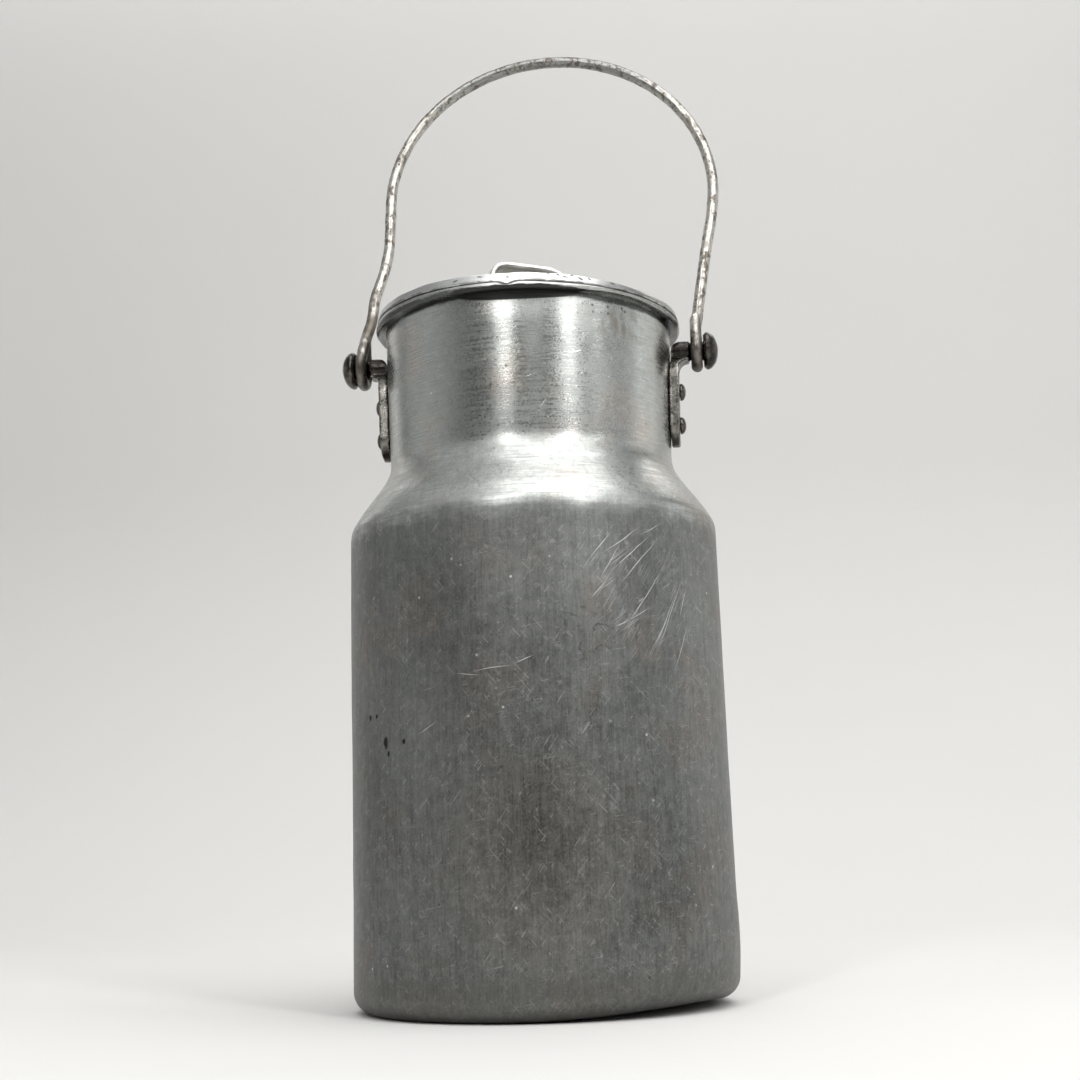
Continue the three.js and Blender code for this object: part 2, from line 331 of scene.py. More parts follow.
class Tree:
    """A node tree, emptied, and the means to add nodes to it."""

    def __init__(self, owner):
        owner.use_nodes = True
        self.nodes = owner.node_tree.nodes
        self.links = owner.node_tree.links
        self.nodes.clear()

    def feed(self, socket, value):
        if isinstance(value, bpy.types.NodeSocket):
            self.links.new(value, socket)
        else:
            socket.default_value = value

    def add(self, kind, inputs=None, **settings):
        """A node of a kind, with its settings made first and then its inputs fed."""
        node = self.nodes.new("ShaderNode" + kind)
        for setting, value in settings.items():
            setattr(node, setting, value)
        for socket, value in (inputs or {}).items():
            self.feed(node.inputs[socket], value)
        return node


class Graph(Tree):
    """A material's node graph, written as calls that return sockets."""

    def __init__(self, name):
        self.material = bpy.data.materials.new(name)
        super().__init__(self.material)
        self.shader = self.nodes.new("ShaderNodeBsdfPrincipled")
        self.add("OutputMaterial", {"Surface": self.shader.outputs[0]})
        self.place = self.add("TexCoord").outputs["Object"]

    def mapped(self, sizes, centre=(0, 0, 0), turn=(0, 0, 0), place=None):
        """The place measured from a centre, along turned axes, in units of three sizes. All in mm."""
        inputs = {"Location": metres(centre), "Rotation": turn, "Scale": metres(sizes)}
        inputs["Vector"] = place or self.place
        return self.add("Mapping", inputs, vector_type="TEXTURE").outputs[0]

    def noise(self, size, seed=0.0, detail=3.0, roughness=0.55, turn=(0, 0, 0)):
        """Noise with lumps of a size in mm, one number or one for each axis. About 0 to 1."""
        sizes = size if isinstance(size, tuple) else (size, size, size)
        vector = self.mapped(sizes, (61.0 * seed, 43.0 * seed, -29.0 * seed), turn)
        inputs = {"Vector": vector, "Scale": 1.0, "Detail": detail, "Roughness": roughness}
        return self.add("TexNoise", inputs).outputs["Fac"]

    def cells(self, size, seed):
        """The distance from scattered points that lie about a size in mm apart."""
        vector = self.mapped((size, size, size), (37.0 * seed, 53.0 * seed, 19.0 * seed))
        return self.add("TexVoronoi", {"Vector": vector, "Scale": 1.0}).outputs["Distance"]

    def step(self, value, low, high, at_low=0.0, at_high=1.0):
        """value turned from the range low..high into at_low..at_high, and held at its ends."""
        inputs = {"Value": value, "From Min": low, "From Max": high, "To Min": at_low, "To Max": at_high}
        return self.add("MapRange", inputs, interpolation_type="SMOOTHSTEP").outputs["Result"]

    def fall(self, value, low, high):
        """1 below low and 0 above high."""
        return self.step(value, low, high, 1.0, 0.0)

    def spread(self, noise, at_low=0.0, at_high=1.0):
        """A noise stretched over a range. Few of its values lie outside NOISE_LOW and NOISE_HIGH."""
        return self.step(noise, NOISE_LOW, NOISE_HIGH, at_low, at_high)

    def sway(self, noise, amount):
        """A noise stretched over -amount..amount."""
        return self.spread(noise, -amount, amount)

    def math(self, operation, a, b=0.0):
        return self.add("Math", {0: a, 1: b}, operation=operation).outputs[0]

    def chained(self, operation, values):
        result = values[0]
        for value in values[1:]:
            result = self.math(operation, result, value)
        return result

    def times(self, *values):
        return self.chained("MULTIPLY", values)

    def plus(self, *values):
        return self.chained("ADD", values)

    def highest(self, *values):
        return self.chained("MAXIMUM", values)

    def colour(self, amount, first, second):
        """A mix of two colours by an amount."""
        node = self.add("Mix", {"Factor": amount}, data_type="RGBA")
        for socket, value in ((node.inputs["A"], first), (node.inputs["B"], second)):
            self.feed(socket, value if isinstance(value, bpy.types.NodeSocket) else (*value, 1.0))
        return node.outputs["Result"]

    def shade(self, colour, amount):
        """A colour multiplied by a number."""
        inputs = {0: colour, "Scale": amount}
        return self.add("VectorMath", inputs, operation="SCALE").outputs["Vector"]

    def along(self, axis):
        """How far a point of the surface lies along an axis, in mm."""
        return self.times(self.add("SeparateXYZ", {0: self.place}).outputs[axis], 1000.0)

    def facing(self, axis):
        """How much the surface looks along an axis, from -1 to 1."""
        normal = self.add("TexCoord").outputs["Normal"]
        return self.add("SeparateXYZ", {0: normal}).outputs[axis]

    def wobbled(self, size, amount):
        """The place, shaken by an amount by noise of a size, both in mm, so that marks aren't too neat."""
        noise_inputs = {"Vector": self.mapped((size, size, size)), "Scale": 1.0}
        noise_colour = self.add("TexNoise", noise_inputs).outputs["Color"]
        # The noise's colour is about 0.5 in each channel, so half of the amount is taken off again.
        shifted = self.mapped((1000, 1000, 1000), (0.5 * amount,) * 3)
        inputs = {0: noise_colour, 1: metres((amount,) * 3), 2: shifted}
        return self.add("VectorMath", inputs, operation="MULTIPLY_ADD").outputs["Vector"]

    def spot(self, centre, radii, soft=0.5, turn=(0, 0, 0), place=None):
        """1 inside an ellipsoid with its centre and radii in mm, falling to 0 at its surface."""
        inputs = {0: self.mapped(radii, centre, turn, place)}
        distance = self.add("VectorMath", inputs, operation="LENGTH").outputs["Value"]
        return self.fall(distance, 1.0 - soft, 1.0)

    def bump(self, height, depth):
        """A normal from a height, where a height of 1 stands a depth in mm above 0."""
        return self.add("Bump", {"Distance": 0.001 * depth, "Height": height}).outputs["Normal"]

    def finish(self, colour, roughness, normal, metallic=1.0):
        self.feed(self.shader.inputs["Base Color"], colour)
        self.feed(self.shader.inputs["Roughness"], roughness)
        self.feed(self.shader.inputs["Metallic"], metallic)
        if normal is not None:
            self.feed(self.shader.inputs["Normal"], normal)
        return self.material


def turn_on_can(degrees, tilt):
    """Turned axes at a direction round the can: along a line tilted from upright, beside it, outwards."""
    a, t = math.radians(degrees), math.radians(tilt)
    outward = Vector((math.cos(a), math.sin(a), 0.0))
    across = Vector((0.0, 0.0, 1.0)).cross(outward)
    along = Vector((0.0, 0.0, 1.0)) * math.cos(t) + across * math.sin(t)
    return tuple(Matrix((along, outward.cross(along), outward)).transposed().to_euler())


def scratch(g, place, degrees, z, length, tilt):
    """A straight scratch on the can, tilted from upright towards its right. Lengths in mm."""
    return g.spot(on_can(degrees, z), (length / 2, 0.13, 5.0), 0.8, turn_on_can(degrees, tilt), place)


def hairlines(g, degrees, tilt, seed, low, high):
    """Many fine parallel scratches, for a zone of the can round a direction."""
    lines = g.noise((16.0, 0.24, 16.0), seed=seed, detail=1.0, turn=turn_on_can(degrees, tilt))
    return g.step(lines, low, high)


def height_at_mouth(g):
    """The height of a point, as if the bent mouth were level."""
    x = g.along("X")
    right = g.times(g.math("MAXIMUM", x, 0.0), MOUTH_TILT)
    left = g.times(g.math("MINIMUM", x, 0.0), MOUTH_TILT * LEFT_TILT_SHARE)
    return g.plus(g.along("Z"), right, left)


# The zone in front where the mouth's edges get a painted highlight.
def in_front_of_mouth(g):
    return g.spot(on_can(-86, 231, BEAD_RADIUS), (38.0, 26.0, 26.0), soft=0.7)


def on_can(degrees, z, radius=None):
    """A point on the can's outside, from its direction round Z and its height."""
    if radius is None:
        radius = BODY_RADIUS if z < WALL_TOP else neck_radius(z)
    a = math.radians(degrees)
    return (radius * math.cos(a), radius * math.sin(a), z)


# ---- Materials ------------------------------------------------------------------------------------


# Long scratches at the upper right of the front: direction round Z, height, length, tilt.
LONG_SCRATCHES = (
    (-42.0, 121.0, 38.0, 29.0),
    (-44.5, 118.0, 30.0, 31.0),
    (-46.5, 115.0, 24.0, 34.0),
    (-50.5, 127.0, 32.0, 38.0),
    (-55.0, 140.0, 24.0, 50.0),
    (-52.0, 138.0, 30.0, 44.0),
    (-58.0, 144.0, 20.0, 57.0),
    (-62.0, 137.0, 18.0, 32.0),
    (-65.0, 142.0, 15.0, 40.0),
    (-38.0, 111.0, 22.0, 25.0),
    (-36.0, 126.0, 14.0, 22.0),
    (-53.0, 121.0, 12.0, 62.0),
    (-66.0, 128.0, 9.0, 40.0),
    (-59.0, 118.0, 8.0, 70.0),
    (-48.0, 148.0, 13.0, 62.0),
    (-97.0, 104.5, 15.0, 82.0),
    (-104.0, 103.0, 10.0, 96.0),
    (-88.0, 107.0, 8.0, 68.0),
    (-117.0, 88.0, 10.0, 60.0),
    (-76.0, 187.0, 9.0, 52.0),
    (-71.0, 184.5, 7.0, 60.0),
    (-79.0, 190.5, 6.0, 40.0),
    (-83.0, 200.0, 6.0, 70.0),
    (-66.0, 208.0, 7.0, 75.0),
)


# Pits at the left of the wall: direction round Z, height, radii.
PITS = (
    (-134.5, 84.3, (1.5, 1.5, 2.6)),
    (-126.0, 84.2, (1.0, 1.0, 1.1)),
    (-143.1, 92.9, (1.2, 1.2, 1.2)),
    (-138.8, 93.0, (0.9, 0.9, 1.0)),
    (-133.0, 80.8, (0.9, 0.9, 1.3)),
)

SHOULDER_EDGE = (150.0, 160.5)  # heights between which the wall's looks turn into the shoulder's
NECK_ROOT = (172.0, 186.0)  # and the shoulder's into the neck's


class CanSheet:
    """The zones of the can's surface, and the noises that its colour, gloss and relief share."""

    def __init__(self, g):
        self.z = g.along("Z")
        ridge = g.plus(self.z, g.sway(g.noise((7.0, 7.0, 3.0), seed=47.0), 1.5))
        self.on_body = g.fall(ridge, *SHOULDER_EDGE)
        self.on_shoulder = g.times(g.step(ridge, *SHOULDER_EDGE), g.fall(self.z, *NECK_ROOT))
        self.on_neck = g.step(self.z, *NECK_ROOT)
        self.clouds = g.noise(42.0, seed=3.0, detail=4.0)
        self.drawn = g.noise((1.5, 1.5, 26.0), seed=7.0, detail=4.0, roughness=0.6)
        self.turned = g.noise((14.0, 14.0, 0.5), seed=5.0, detail=4.0, roughness=0.65)
        self.ragged = g.noise((6.0, 6.0, 1.1), seed=8.0)
        self.grain = g.noise(0.7, seed=13.0, roughness=0.75)
        self.mottle = g.noise(3.6, seed=17.0, detail=5.0, roughness=0.7)


def can_tone(g, sheet):
    """How light the bare sheet is: drawn lines down the wall, turned lines round the neck, clouds, and
    painted shade on the front and towards the bottom.
    """
    fine_lines = g.noise((0.45, 0.45, 6.0), seed=11.0)
    # Painted shade: the middle of the body's front is darker.
    painted_dark_front = g.spot(on_can(-85, 92), (44.0, 44.0, 80.0), soft=1.0)
    return g.plus(
        g.step(sheet.clouds, 0.32, 0.68, 0.71, 0.87),
        g.times(sheet.on_body, g.sway(sheet.drawn, 0.06)),
        g.times(sheet.on_body, g.sway(fine_lines, 0.07)),
        g.times(sheet.on_neck, g.spread(sheet.turned, -0.09, 0.11)),
        g.times(sheet.on_neck, g.spread(sheet.ragged, -0.04, 0.05)),
        # Painted shade of a shallow dent: a darker patch left of the front's middle.
        g.times(g.spot(on_can(-101, 92), (22.0, 20.0, 30.0), soft=0.9), -0.08),
        g.times(painted_dark_front, sheet.on_body, -0.22),
        g.times(sheet.on_shoulder, g.spread(sheet.turned, -0.30, 0.22)),
        g.times(sheet.on_shoulder, g.sway(sheet.drawn, 0.16)),
        g.sway(sheet.grain, 0.11),
        g.step(sheet.mottle, 0.35, 0.65, -0.08, 0.08),
        g.times(sheet.on_neck, 0.84),
        g.times(sheet.on_shoulder, 0.92),
        # Painted shade: darker towards the bottom.
        g.step(sheet.z, 10.0, 120.0, -0.20, 0.0),
    )


def can_bare_colour(g, sheet):
    """Grey sheet, warmer low in front and in patches."""
    warm_low = g.spot((5.0, -60.0, 48.0), (40.0, 30.0, 48.0), soft=1.0)
    warm_patches = g.step(g.noise(22.0, seed=23.0, detail=2.0), 0.5, 0.68, 0.0, 0.5)
    warmth = g.highest(g.times(warm_low, 0.6), warm_patches)
    grey = g.colour(warmth, (0.262, 0.268, 0.257), (0.288, 0.258, 0.229))
    return g.shade(grey, can_tone(g, sheet))


def bright_scratches(g):
    """Long scratches and fine ones at the upper right of the front, short ones and nicks all over."""
    shaken = g.wobbled(14.0, 2.0)
    long_scratches = g.highest(*[scratch(g, shaken, *place) for place in LONG_SCRATCHES])
    upper_right = g.spot(on_can(-50, 128), (30.0, 30.0, 30.0), soft=0.9)
    fine_scratches = g.times(
        upper_right,
        g.step(g.noise(9.0, seed=19.0, detail=2.0), 0.44, 0.6),
        g.highest(hairlines(g, -48, 32, 31.0, 0.62, 0.70), hairlines(g, -55, 55, 32.0, 0.63, 0.71)),
    )
    one_way_each = [
        g.step(g.noise(sizes, seed=seed, detail=0.0, turn=turn_on_can(degrees, tilt)), low, low + 0.1)
        for sizes, seed, degrees, tilt, low in (
            ((9.0, 0.24, 9.0), 33.0, -80, 35, 0.66),
            ((8.0, 0.24, 8.0), 37.0, -95, -40, 0.68),
            ((7.0, 0.22, 7.0), 39.0, -88, 80, 0.70),
        )
    ]
    broken = g.step(g.noise(2.6, seed=29.0, detail=1.0), 0.50, 0.60)
    short_scratches = g.times(broken, g.highest(*one_way_each))
    nick_places = g.step(g.noise(12.0, seed=43.0, detail=1.0), 0.50, 0.58)
    nicks = g.times(g.fall(g.cells(7.0, seed=41.0), 0.03, 0.085), nick_places)
    return g.highest(
        g.times(long_scratches, 0.75),
        g.times(fine_scratches, 0.45),
        g.times(short_scratches, 0.20),
        g.times(nicks, 0.6),
    )


def winding_smudges(g, sheet):
    """Dark worm-like smudges on the front of the wall."""
    winding = g.math("ABSOLUTE", g.plus(g.noise((7.0, 7.0, 4.2), seed=53.0), -0.5))
    patches = g.step(g.noise(5.0, seed=55.0, detail=2.0), 0.42, 0.58)
    shape = g.times(g.fall(winding, 0.004, 0.045), patches)
    zone = g.spot(on_can(-70, 116), (13.0, 11.0, 17.0), soft=0.7)
    return g.times(zone, g.plus(g.times(shape, 0.62), g.step(sheet.mottle, 0.35, 0.65, 0.0, 0.30)))


def can_pits(g):
    ragged_place = g.wobbled(1.6, 0.9)
    return g.highest(
        *[g.spot(on_can(degrees, z), radii, 0.5, place=ragged_place) for degrees, z, radii in PITS]
    )


def can_specks(g):
    places = g.step(g.noise(9.0, seed=61.0, detail=2.0), 0.58, 0.68)
    return g.times(g.fall(g.cells(3.4, seed=59.0), 0.08, 0.17), places)


def mouth_specks(g):
    """Specks under the mouth, at the right of the front."""
    specks = g.fall(g.cells(1.9, seed=67.0), 0.16, 0.3)
    return g.times(specks, g.spot(on_can(-52, 224), (22.0, 20.0, 6.0), soft=0.8))


def mouth_stains(g):
    """Brown runs under the mouth, at the right of the front."""
    runs = g.step(g.noise((2.5, 2.5, 6.0), seed=71.0, detail=4.0), 0.45, 0.62)
    return g.times(g.spot(on_can(-46, 219), (17.0, 14.0, 11.0), soft=0.9), runs)


def with_painted_shade_and_highlight(g, sheet, colour):
    """A colour with painted shade under the bead and in bands along the base, and a painted highlight on
    the bead's front.
    """
    ragged = g.sway(g.noise((9.0, 9.0, 2.0), seed=73.0, detail=4.0), 0.7)
    at_mouth = g.plus(height_at_mouth(g), g.times(ragged, 0.6))
    # Painted shade under the bead, all round.
    painted_shade_under_bead = g.times(g.step(at_mouth, 226.2, 227.2), g.step(at_mouth, 228.4, 229.2, 1.0, 0.3))
    # Painted highlight on the top of the bead, in front.
    painted_highlight_on_bead = g.times(g.step(at_mouth, 228.9, 229.5), in_front_of_mouth(g))
    # Painted shade in a band along the base.
    painted_shade_band_at_base = g.times(
        g.step(g.plus(sheet.z, g.times(ragged, 1.6)), 3.6, 7.0),
        g.fall(g.plus(sheet.z, ragged), 10.0, 15.5),
    )
    # Painted shade at the base's lower edge.
    painted_shade_at_base_edge = g.fall(g.plus(sheet.z, g.times(ragged, 0.8)), 2.5, 6.5)
    colour = g.colour(g.times(painted_shade_under_bead, 0.90), colour, (0.055, 0.057, 0.053))
    colour = g.colour(g.times(painted_highlight_on_bead, 0.85), colour, (0.85, 0.85, 0.84))
    colour = g.colour(g.times(painted_shade_band_at_base, 0.35), colour, (0.12, 0.115, 0.10))
    return g.colour(g.times(painted_shade_at_base_edge, 0.5), colour, (0.09, 0.087, 0.08))


def can_aluminium():
    """Aged sheet: dull and streaked on the body, brushed bright round the neck, with painted shade under
    the bead and along the base and a painted highlight on the bead's front.
    """
    g = Graph("can_aluminium_worn_painted_light")
    sheet = CanSheet(g)
    scratches = bright_scratches(g)
    stains, smudges, specks, pits = mouth_stains(g), winding_smudges(g, sheet), can_specks(g), can_pits(g)
    # Painted shadow in front, right under the bead, where the sheet has a shallow hollow.
    painted_shadow_in_front = g.spot(on_can(-86, 228.4), (25.0, 9.0, 3.4), soft=0.12)
    colour = g.colour(scratches, can_bare_colour(g, sheet), (0.86, 0.86, 0.84))
    for mark, strength, mark_colour in (
        (stains, 0.55, (0.17, 0.125, 0.08)),
        (smudges, 0.85, (0.055, 0.057, 0.053)),
        (specks, 0.5, (0.07, 0.065, 0.055)),
        (mouth_specks(g), 0.8, (0.05, 0.045, 0.035)),
        (pits, 0.92, (0.018, 0.018, 0.016)),
        (painted_shadow_in_front, 0.96, (0.020, 0.020, 0.019)),
    ):
        colour = g.colour(g.times(mark, strength), colour, mark_colour)
    roughness = g.plus(
        g.spread(sheet.clouds, 0.42, 0.50),
        g.spread(sheet.grain, -0.05, 0.06),
        g.times(sheet.on_neck, -0.17),
        g.times(sheet.on_neck, g.sway(sheet.turned, -0.06)),
        g.times(sheet.on_shoulder, -0.13),
        g.times(sheet.on_shoulder, g.sway(sheet.turned, -0.09)),
        g.times(scratches, -0.08),
        g.times(g.highest(pits, smudges, stains, specks, painted_shadow_in_front), 0.12),
    )
    relief = g.plus(
        g.times(sheet.grain, 0.5),
        g.times(sheet.on_body, sheet.drawn, 0.25),
        g.times(g.plus(sheet.on_neck, sheet.on_shoulder), sheet.turned, 0.40),
        g.times(sheet.on_neck, sheet.ragged, 0.12),
        g.times(scratches, -0.9),
        g.times(pits, -5.0),
        g.times(specks, -1.2),
    )
    return g.finish(with_painted_shade_and_highlight(g, sheet, colour), roughness, g.bump(relief, 0.035))


# Dark marks on the lid's edge: direction round Z, height, radii, turn about Y in radians.
EDGE_MARKS = (
    (-90.8, 231.6, (0.9, 2.0, 0.6), 0.0),
    (-76.5, 232.5, (0.8, 2.0, 0.4), 0.3),
    (-73.0, 232.2, (1.1, 2.0, 0.5), 0.3),
    (-70.5, 231.6, (1.7, 2.0, 0.45), 0.35),
    (-68.0, 232.3, (1.0, 2.0, 0.5), -0.3),
    (-64.8, 231.3, (1.6, 2.0, 0.5), 0.5),
    (-61.5, 231.6, (0.9, 2.0, 0.4), 0.5),
    (-110.0, 232.4, (1.3, 2.0, 0.4), -0.2),
    (-101.0, 232.7, (1.6, 2.0, 0.35), 0.2),
    (-52.0, 231.2, (1.2, 2.0, 0.4), 0.2),
)


def lid_aluminium():
    """Brighter sheet, scratched and pitted on the rolled edge where the lid is knocked loose, with a
    painted highlight on the edge's front and painted shade along its lower rim.
    """
    g = Graph("lid_aluminium_worn_painted_light")
    turned = g.noise((26.0, 26.0, 0.8), seed=4.0, detail=4.0, roughness=0.6)
    clouds = g.noise(16.0, seed=9.0)
    grain = g.noise(0.8, seed=15.0, roughness=0.7)
    tone = g.plus(
        g.spread(clouds, 0.92, 1.06),
        g.sway(turned, 0.08),
        g.sway(grain, 0.08),
    )
    z = height_at_mouth(g)
    uneven = g.sway(g.noise((4.5, 4.5, 9.0), seed=25.0, detail=2.0), 0.5)
    on_edge = g.step(g.plus(z, uneven), 229.5, 230.3)
    # Painted highlight: the rolled edge is pale in front and grey elsewhere.
    edge_colour_with_painted_highlight = g.colour(in_front_of_mouth(g), (0.42, 0.42, 0.41), (0.88, 0.88, 0.87))
    clean = g.colour(on_edge, (0.44, 0.44, 0.425), edge_colour_with_painted_highlight)
    colour = g.shade(clean, tone)
    chip_places = g.step(g.noise(7.0, seed=21.0, detail=2.0), 0.55, 0.62)
    chips = g.times(g.fall(g.cells(3.2, seed=19.0), 0.1, 0.2), chip_places)
    marks = g.highest(
        *[
            g.spot(on_can(degrees, height, BEAD_RADIUS), radii, soft=0.6, turn=(0, turn, 0))
            for degrees, height, radii, turn in EDGE_MARKS
        ]
    )
    dark = g.highest(g.times(chips, 0.6), marks)
    colour = g.colour(g.times(dark, 0.85), colour, (0.06, 0.055, 0.05))
    # Painted shade along the lower rim of the rolled edge, where it meets the bead.
    painted_shade_along_lower_rim = g.times(g.step(z, 229.0, 229.6), g.fall(g.plus(z, uneven), 230.4, 230.9))
    # Painted highlight on the nick in the edge's front.
    painted_highlight_on_nick = g.spot(on_can(-91, 230.6, BEAD_RADIUS), (1.6, 2.5, 1.3), soft=0.5)
    colour = g.colour(g.times(painted_shade_along_lower_rim, 0.6), colour, (0.08, 0.08, 0.076))
    colour = g.colour(painted_highlight_on_nick, colour, (0.88, 0.88, 0.87))
    roughness = g.plus(
        g.spread(clouds, 0.30, 0.38), g.spread(grain, -0.04, 0.05), g.times(dark, 0.25)
    )
    relief = g.plus(g.times(grain, 0.3), g.times(turned, 0.6), g.times(dark, -2.5))
    return g.finish(colour, roughness, g.bump(relief, 0.035))


def handle_aluminium():
    """Strap aluminium, pale on the faces that look up, with painted shade in dull brown on the faces that
    look down and in its concave corners.
    """
    g = Graph("handle_aluminium_worn_painted_shade")
    rolled = g.noise((20.0, 0.9, 20.0), seed=6.0, detail=4.0, turn=(0.0, 0.0, HANDLE_TURN))
    clouds = g.noise(7.0, seed=8.0, detail=4.0)
    grain = g.noise(0.8, seed=16.0, roughness=0.7)
    # Painted shade: dull brown on the faces that look down.
    under = g.fall(g.plus(g.facing("Z"), g.sway(clouds, 0.2)), -0.6, 0.05)
    tone = g.plus(
        g.spread(clouds, 0.85, 1.10),
        g.sway(rolled, 0.08),
        g.sway(grain, 0.08),
    )
    colour = g.shade(g.colour(g.times(under, 0.8), (0.66, 0.66, 0.64), (0.34, 0.32, 0.28)), tone)
    roughness = g.plus(g.spread(clouds, 0.28, 0.40), g.times(under, 0.08))
    relief = g.plus(g.times(grain, 0.3), g.times(rolled, 0.3), g.times(clouds, 0.5))
    return g.finish(colour, roughness, g.bump(relief, 0.04))


def rivet_aluminium():
    """Soft rivet metal, hammered and grey in its hollows."""
    g = Graph("rivet_aluminium_worn")
    hammered = g.noise(1.6, seed=2.0)
    grain = g.noise(0.5, seed=12.0)
    tone = g.plus(g.spread(hammered, 0.8, 1.12), g.sway(grain, 0.08))
    hollows = g.step(hammered, 0.3, 0.5, 0.5, 0.0)
    colour = g.shade(g.colour(hollows, (0.55, 0.55, 0.53), (0.2, 0.18, 0.15)), tone)
    roughness = g.spread(grain, 0.32, 0.45)
    return g.finish(colour, roughness, g.bump(hammered, 0.15))


def ear_steel(name, wear):
    """Black forging scale, worn to grey steel on its edges and its sheared sides, with a little rust."""
    g = Graph(name)
    scale = g.noise(1.8, seed=1.0, detail=5.0, roughness=0.65)
    patches = g.noise(6.0, seed=5.0)
    grain = g.noise(0.45, seed=9.0, roughness=0.7)
    edge = g.add("NewGeometry").outputs["Pointiness"]
    strap = g.fall(g.along("Z"), STUD_HEIGHT - 6.0, STUD_HEIGHT - 3.0)
    sheared = g.times(strap, g.step(g.math("ABSOLUTE", g.facing("Y")), 0.6, 0.85))
    bare_sides = g.times(sheared, g.step(patches, 0.36, 0.56, 0.45, 0.95))
    bare = g.highest(g.step(edge, 0.512, 0.560), bare_sides)
    worn = g.times(bare, g.step(scale, 0.36, 0.60, 0.60, 1.0), wear)
    rubbed = g.step(patches, 0.50, 0.72, 0.0, 0.6 * wear)
    black = g.colour(g.step(patches, 0.35, 0.65), (0.024, 0.022, 0.021), (0.085, 0.074, 0.062))
    rust = g.step(g.noise(3.0, seed=33.0, detail=4.0), 0.60, 0.70, 0.0, 0.55)
    colour = g.colour(rust, black, (0.115, 0.055, 0.028))
    colour = g.colour(g.highest(g.times(worn, 0.85), g.times(rubbed, 0.5)), colour, (0.36, 0.345, 0.315))
    roughness = g.plus(g.spread(scale, 0.16, 0.34), g.times(rust, 0.2), g.times(worn, 0.04))
    metallic = g.step(rust, 0.0, 0.55, 0.95, 0.55)
    relief = g.plus(g.times(scale, 1.0), g.times(grain, 0.25))
    return g.finish(colour, roughness, g.bump(relief, 0.10), metallic)


def bail_steel():
    """Drawn wire, silvery where hands rub it and mottled brown where they don't."""
    g = Graph("bail_wire_worn")
    z = g.along("Z")
    mottle = g.noise(3.2, seed=2.0, detail=5.0, roughness=0.65)
    patches = g.noise((11.0, 11.0, 14.0), seed=6.0)
    grain = g.noise(0.5, seed=10.0, roughness=0.7)
    low = g.fall(z, 222.0, 262.0)
    crown = g.step(z, 318.0, 338.0)
    at_eyes = g.fall(z, 220.0, 231.0)
    tip = g.spot((EYE_X, 0.1, STUD_HEIGHT + TIP_HEIGHT + 0.4), (3.0, 3.0, 1.6), soft=0.4)
    silver = g.shade(
        g.colour(crown, (0.52, 0.50, 0.46), (0.30, 0.30, 0.29)),
        g.plus(g.spread(mottle, 0.66, 1.30), g.sway(grain, 0.08)),
    )
    flecks = g.step(g.noise((2.0, 2.0, 3.2), seed=21.0, detail=4.0, roughness=0.6), 0.54, 0.60)
    brown_amount = g.highest(
        g.step(g.plus(patches, g.times(low, 0.04)), 0.54, 0.64),
        g.times(g.step(mottle, 0.54, 0.62), 0.6),
        flecks,
    )
    colour = g.colour(g.times(brown_amount, 0.76), silver, (0.085, 0.062, 0.038))
    colour = g.colour(g.times(at_eyes, 0.7), colour, (0.060, 0.048, 0.038))
    colour = g.colour(tip, colour, (0.62, 0.60, 0.55))
    spots = g.times(
        g.fall(g.cells(2.6, seed=14.0), 0.12, 0.24), g.step(patches, 0.42, 0.56)
    )
    colour = g.colour(g.times(spots, 0.8), colour, (0.035, 0.028, 0.022))
    roughness = g.plus(g.spread(mottle, 0.26, 0.42), g.times(brown_amount, 0.12))
    metallic = g.step(brown_amount, 0.0, 1.0, 1.0, 0.75)
    relief = g.plus(g.times(mottle, 0.8), g.times(grain, 0.3), g.times(spots, -0.8))
    return g.finish(colour, roughness, g.bump(relief, 0.10), metallic)


def plain_pale(name, tone, roughness):
    """A plain pale stage material with a faint unevenness."""
    g = Graph(name)
    clouds = g.noise(400.0, seed=1.0, detail=2.0)
    colour = g.colour(g.spread(clouds), tuple(0.985 * t for t in tone), tone)
    return g.finish(colour, roughness, None, 0.0)


# ---- Can ------------------------------------------------------------------------------------------

MOUTH_TILT = 0.030  # the mouth is bent down towards +X
LEFT_TILT_SHARE = 0.7  # its left side is bent up by less
BASE_DENT_AT = -31.0  # degrees: the can was dropped on this part of its base


# Small hollows at the left of the wall: direction, width round Z, height, width in Z, depth.
WALL_HOLLOWS = ((-134.5, 2.2, 83.7, 3.4, 0.45), (-143.0, 1.7, 92.9, 2.0, 0.30))


def mouth_shift(x, y, z):
    """How far the bent mouth is moved in Z: a tilt, a little unevenness and a small nick in front."""
    reach = smooth(z, 206.0, 227.5)
    tilt = -MOUTH_TILT * (x if x > 0 else LEFT_TILT_SHARE * x) + 0.25 * ripple(x, y, 0.0, 24.0, 3.1)
    nick = -1.15 * bell_round(x, y, -91.0, 2.6) * bell(z, 231.0, 1.6)
    return reach * tilt + nick


def wall_unevenness(x, y, z):
    """How far the wall and the neck stand outwards, but not where the ears lie against the neck."""
    on_wall = smooth(z, 4.0, 30.0) * smooth(z, 176.0, 150.0)
    on_neck = smooth(z, 176.0, 188.0) * smooth(z, 226.0, 214.0)
    clear_of_ears = smooth(abs(y), 12.0, 26.0)
    outward = on_wall * (0.20 * ripple(x, y, z, 34.0, 1.3) + 0.07 * ripple(x, y, z, 11.0, 5.7))
    waves = 0.12 * ripple(x, y, z, 26.0, 2.9) + 0.04 * ripple(x, y, z, 8.0, 7.7)
    return outward + on_neck * clear_of_ears * waves


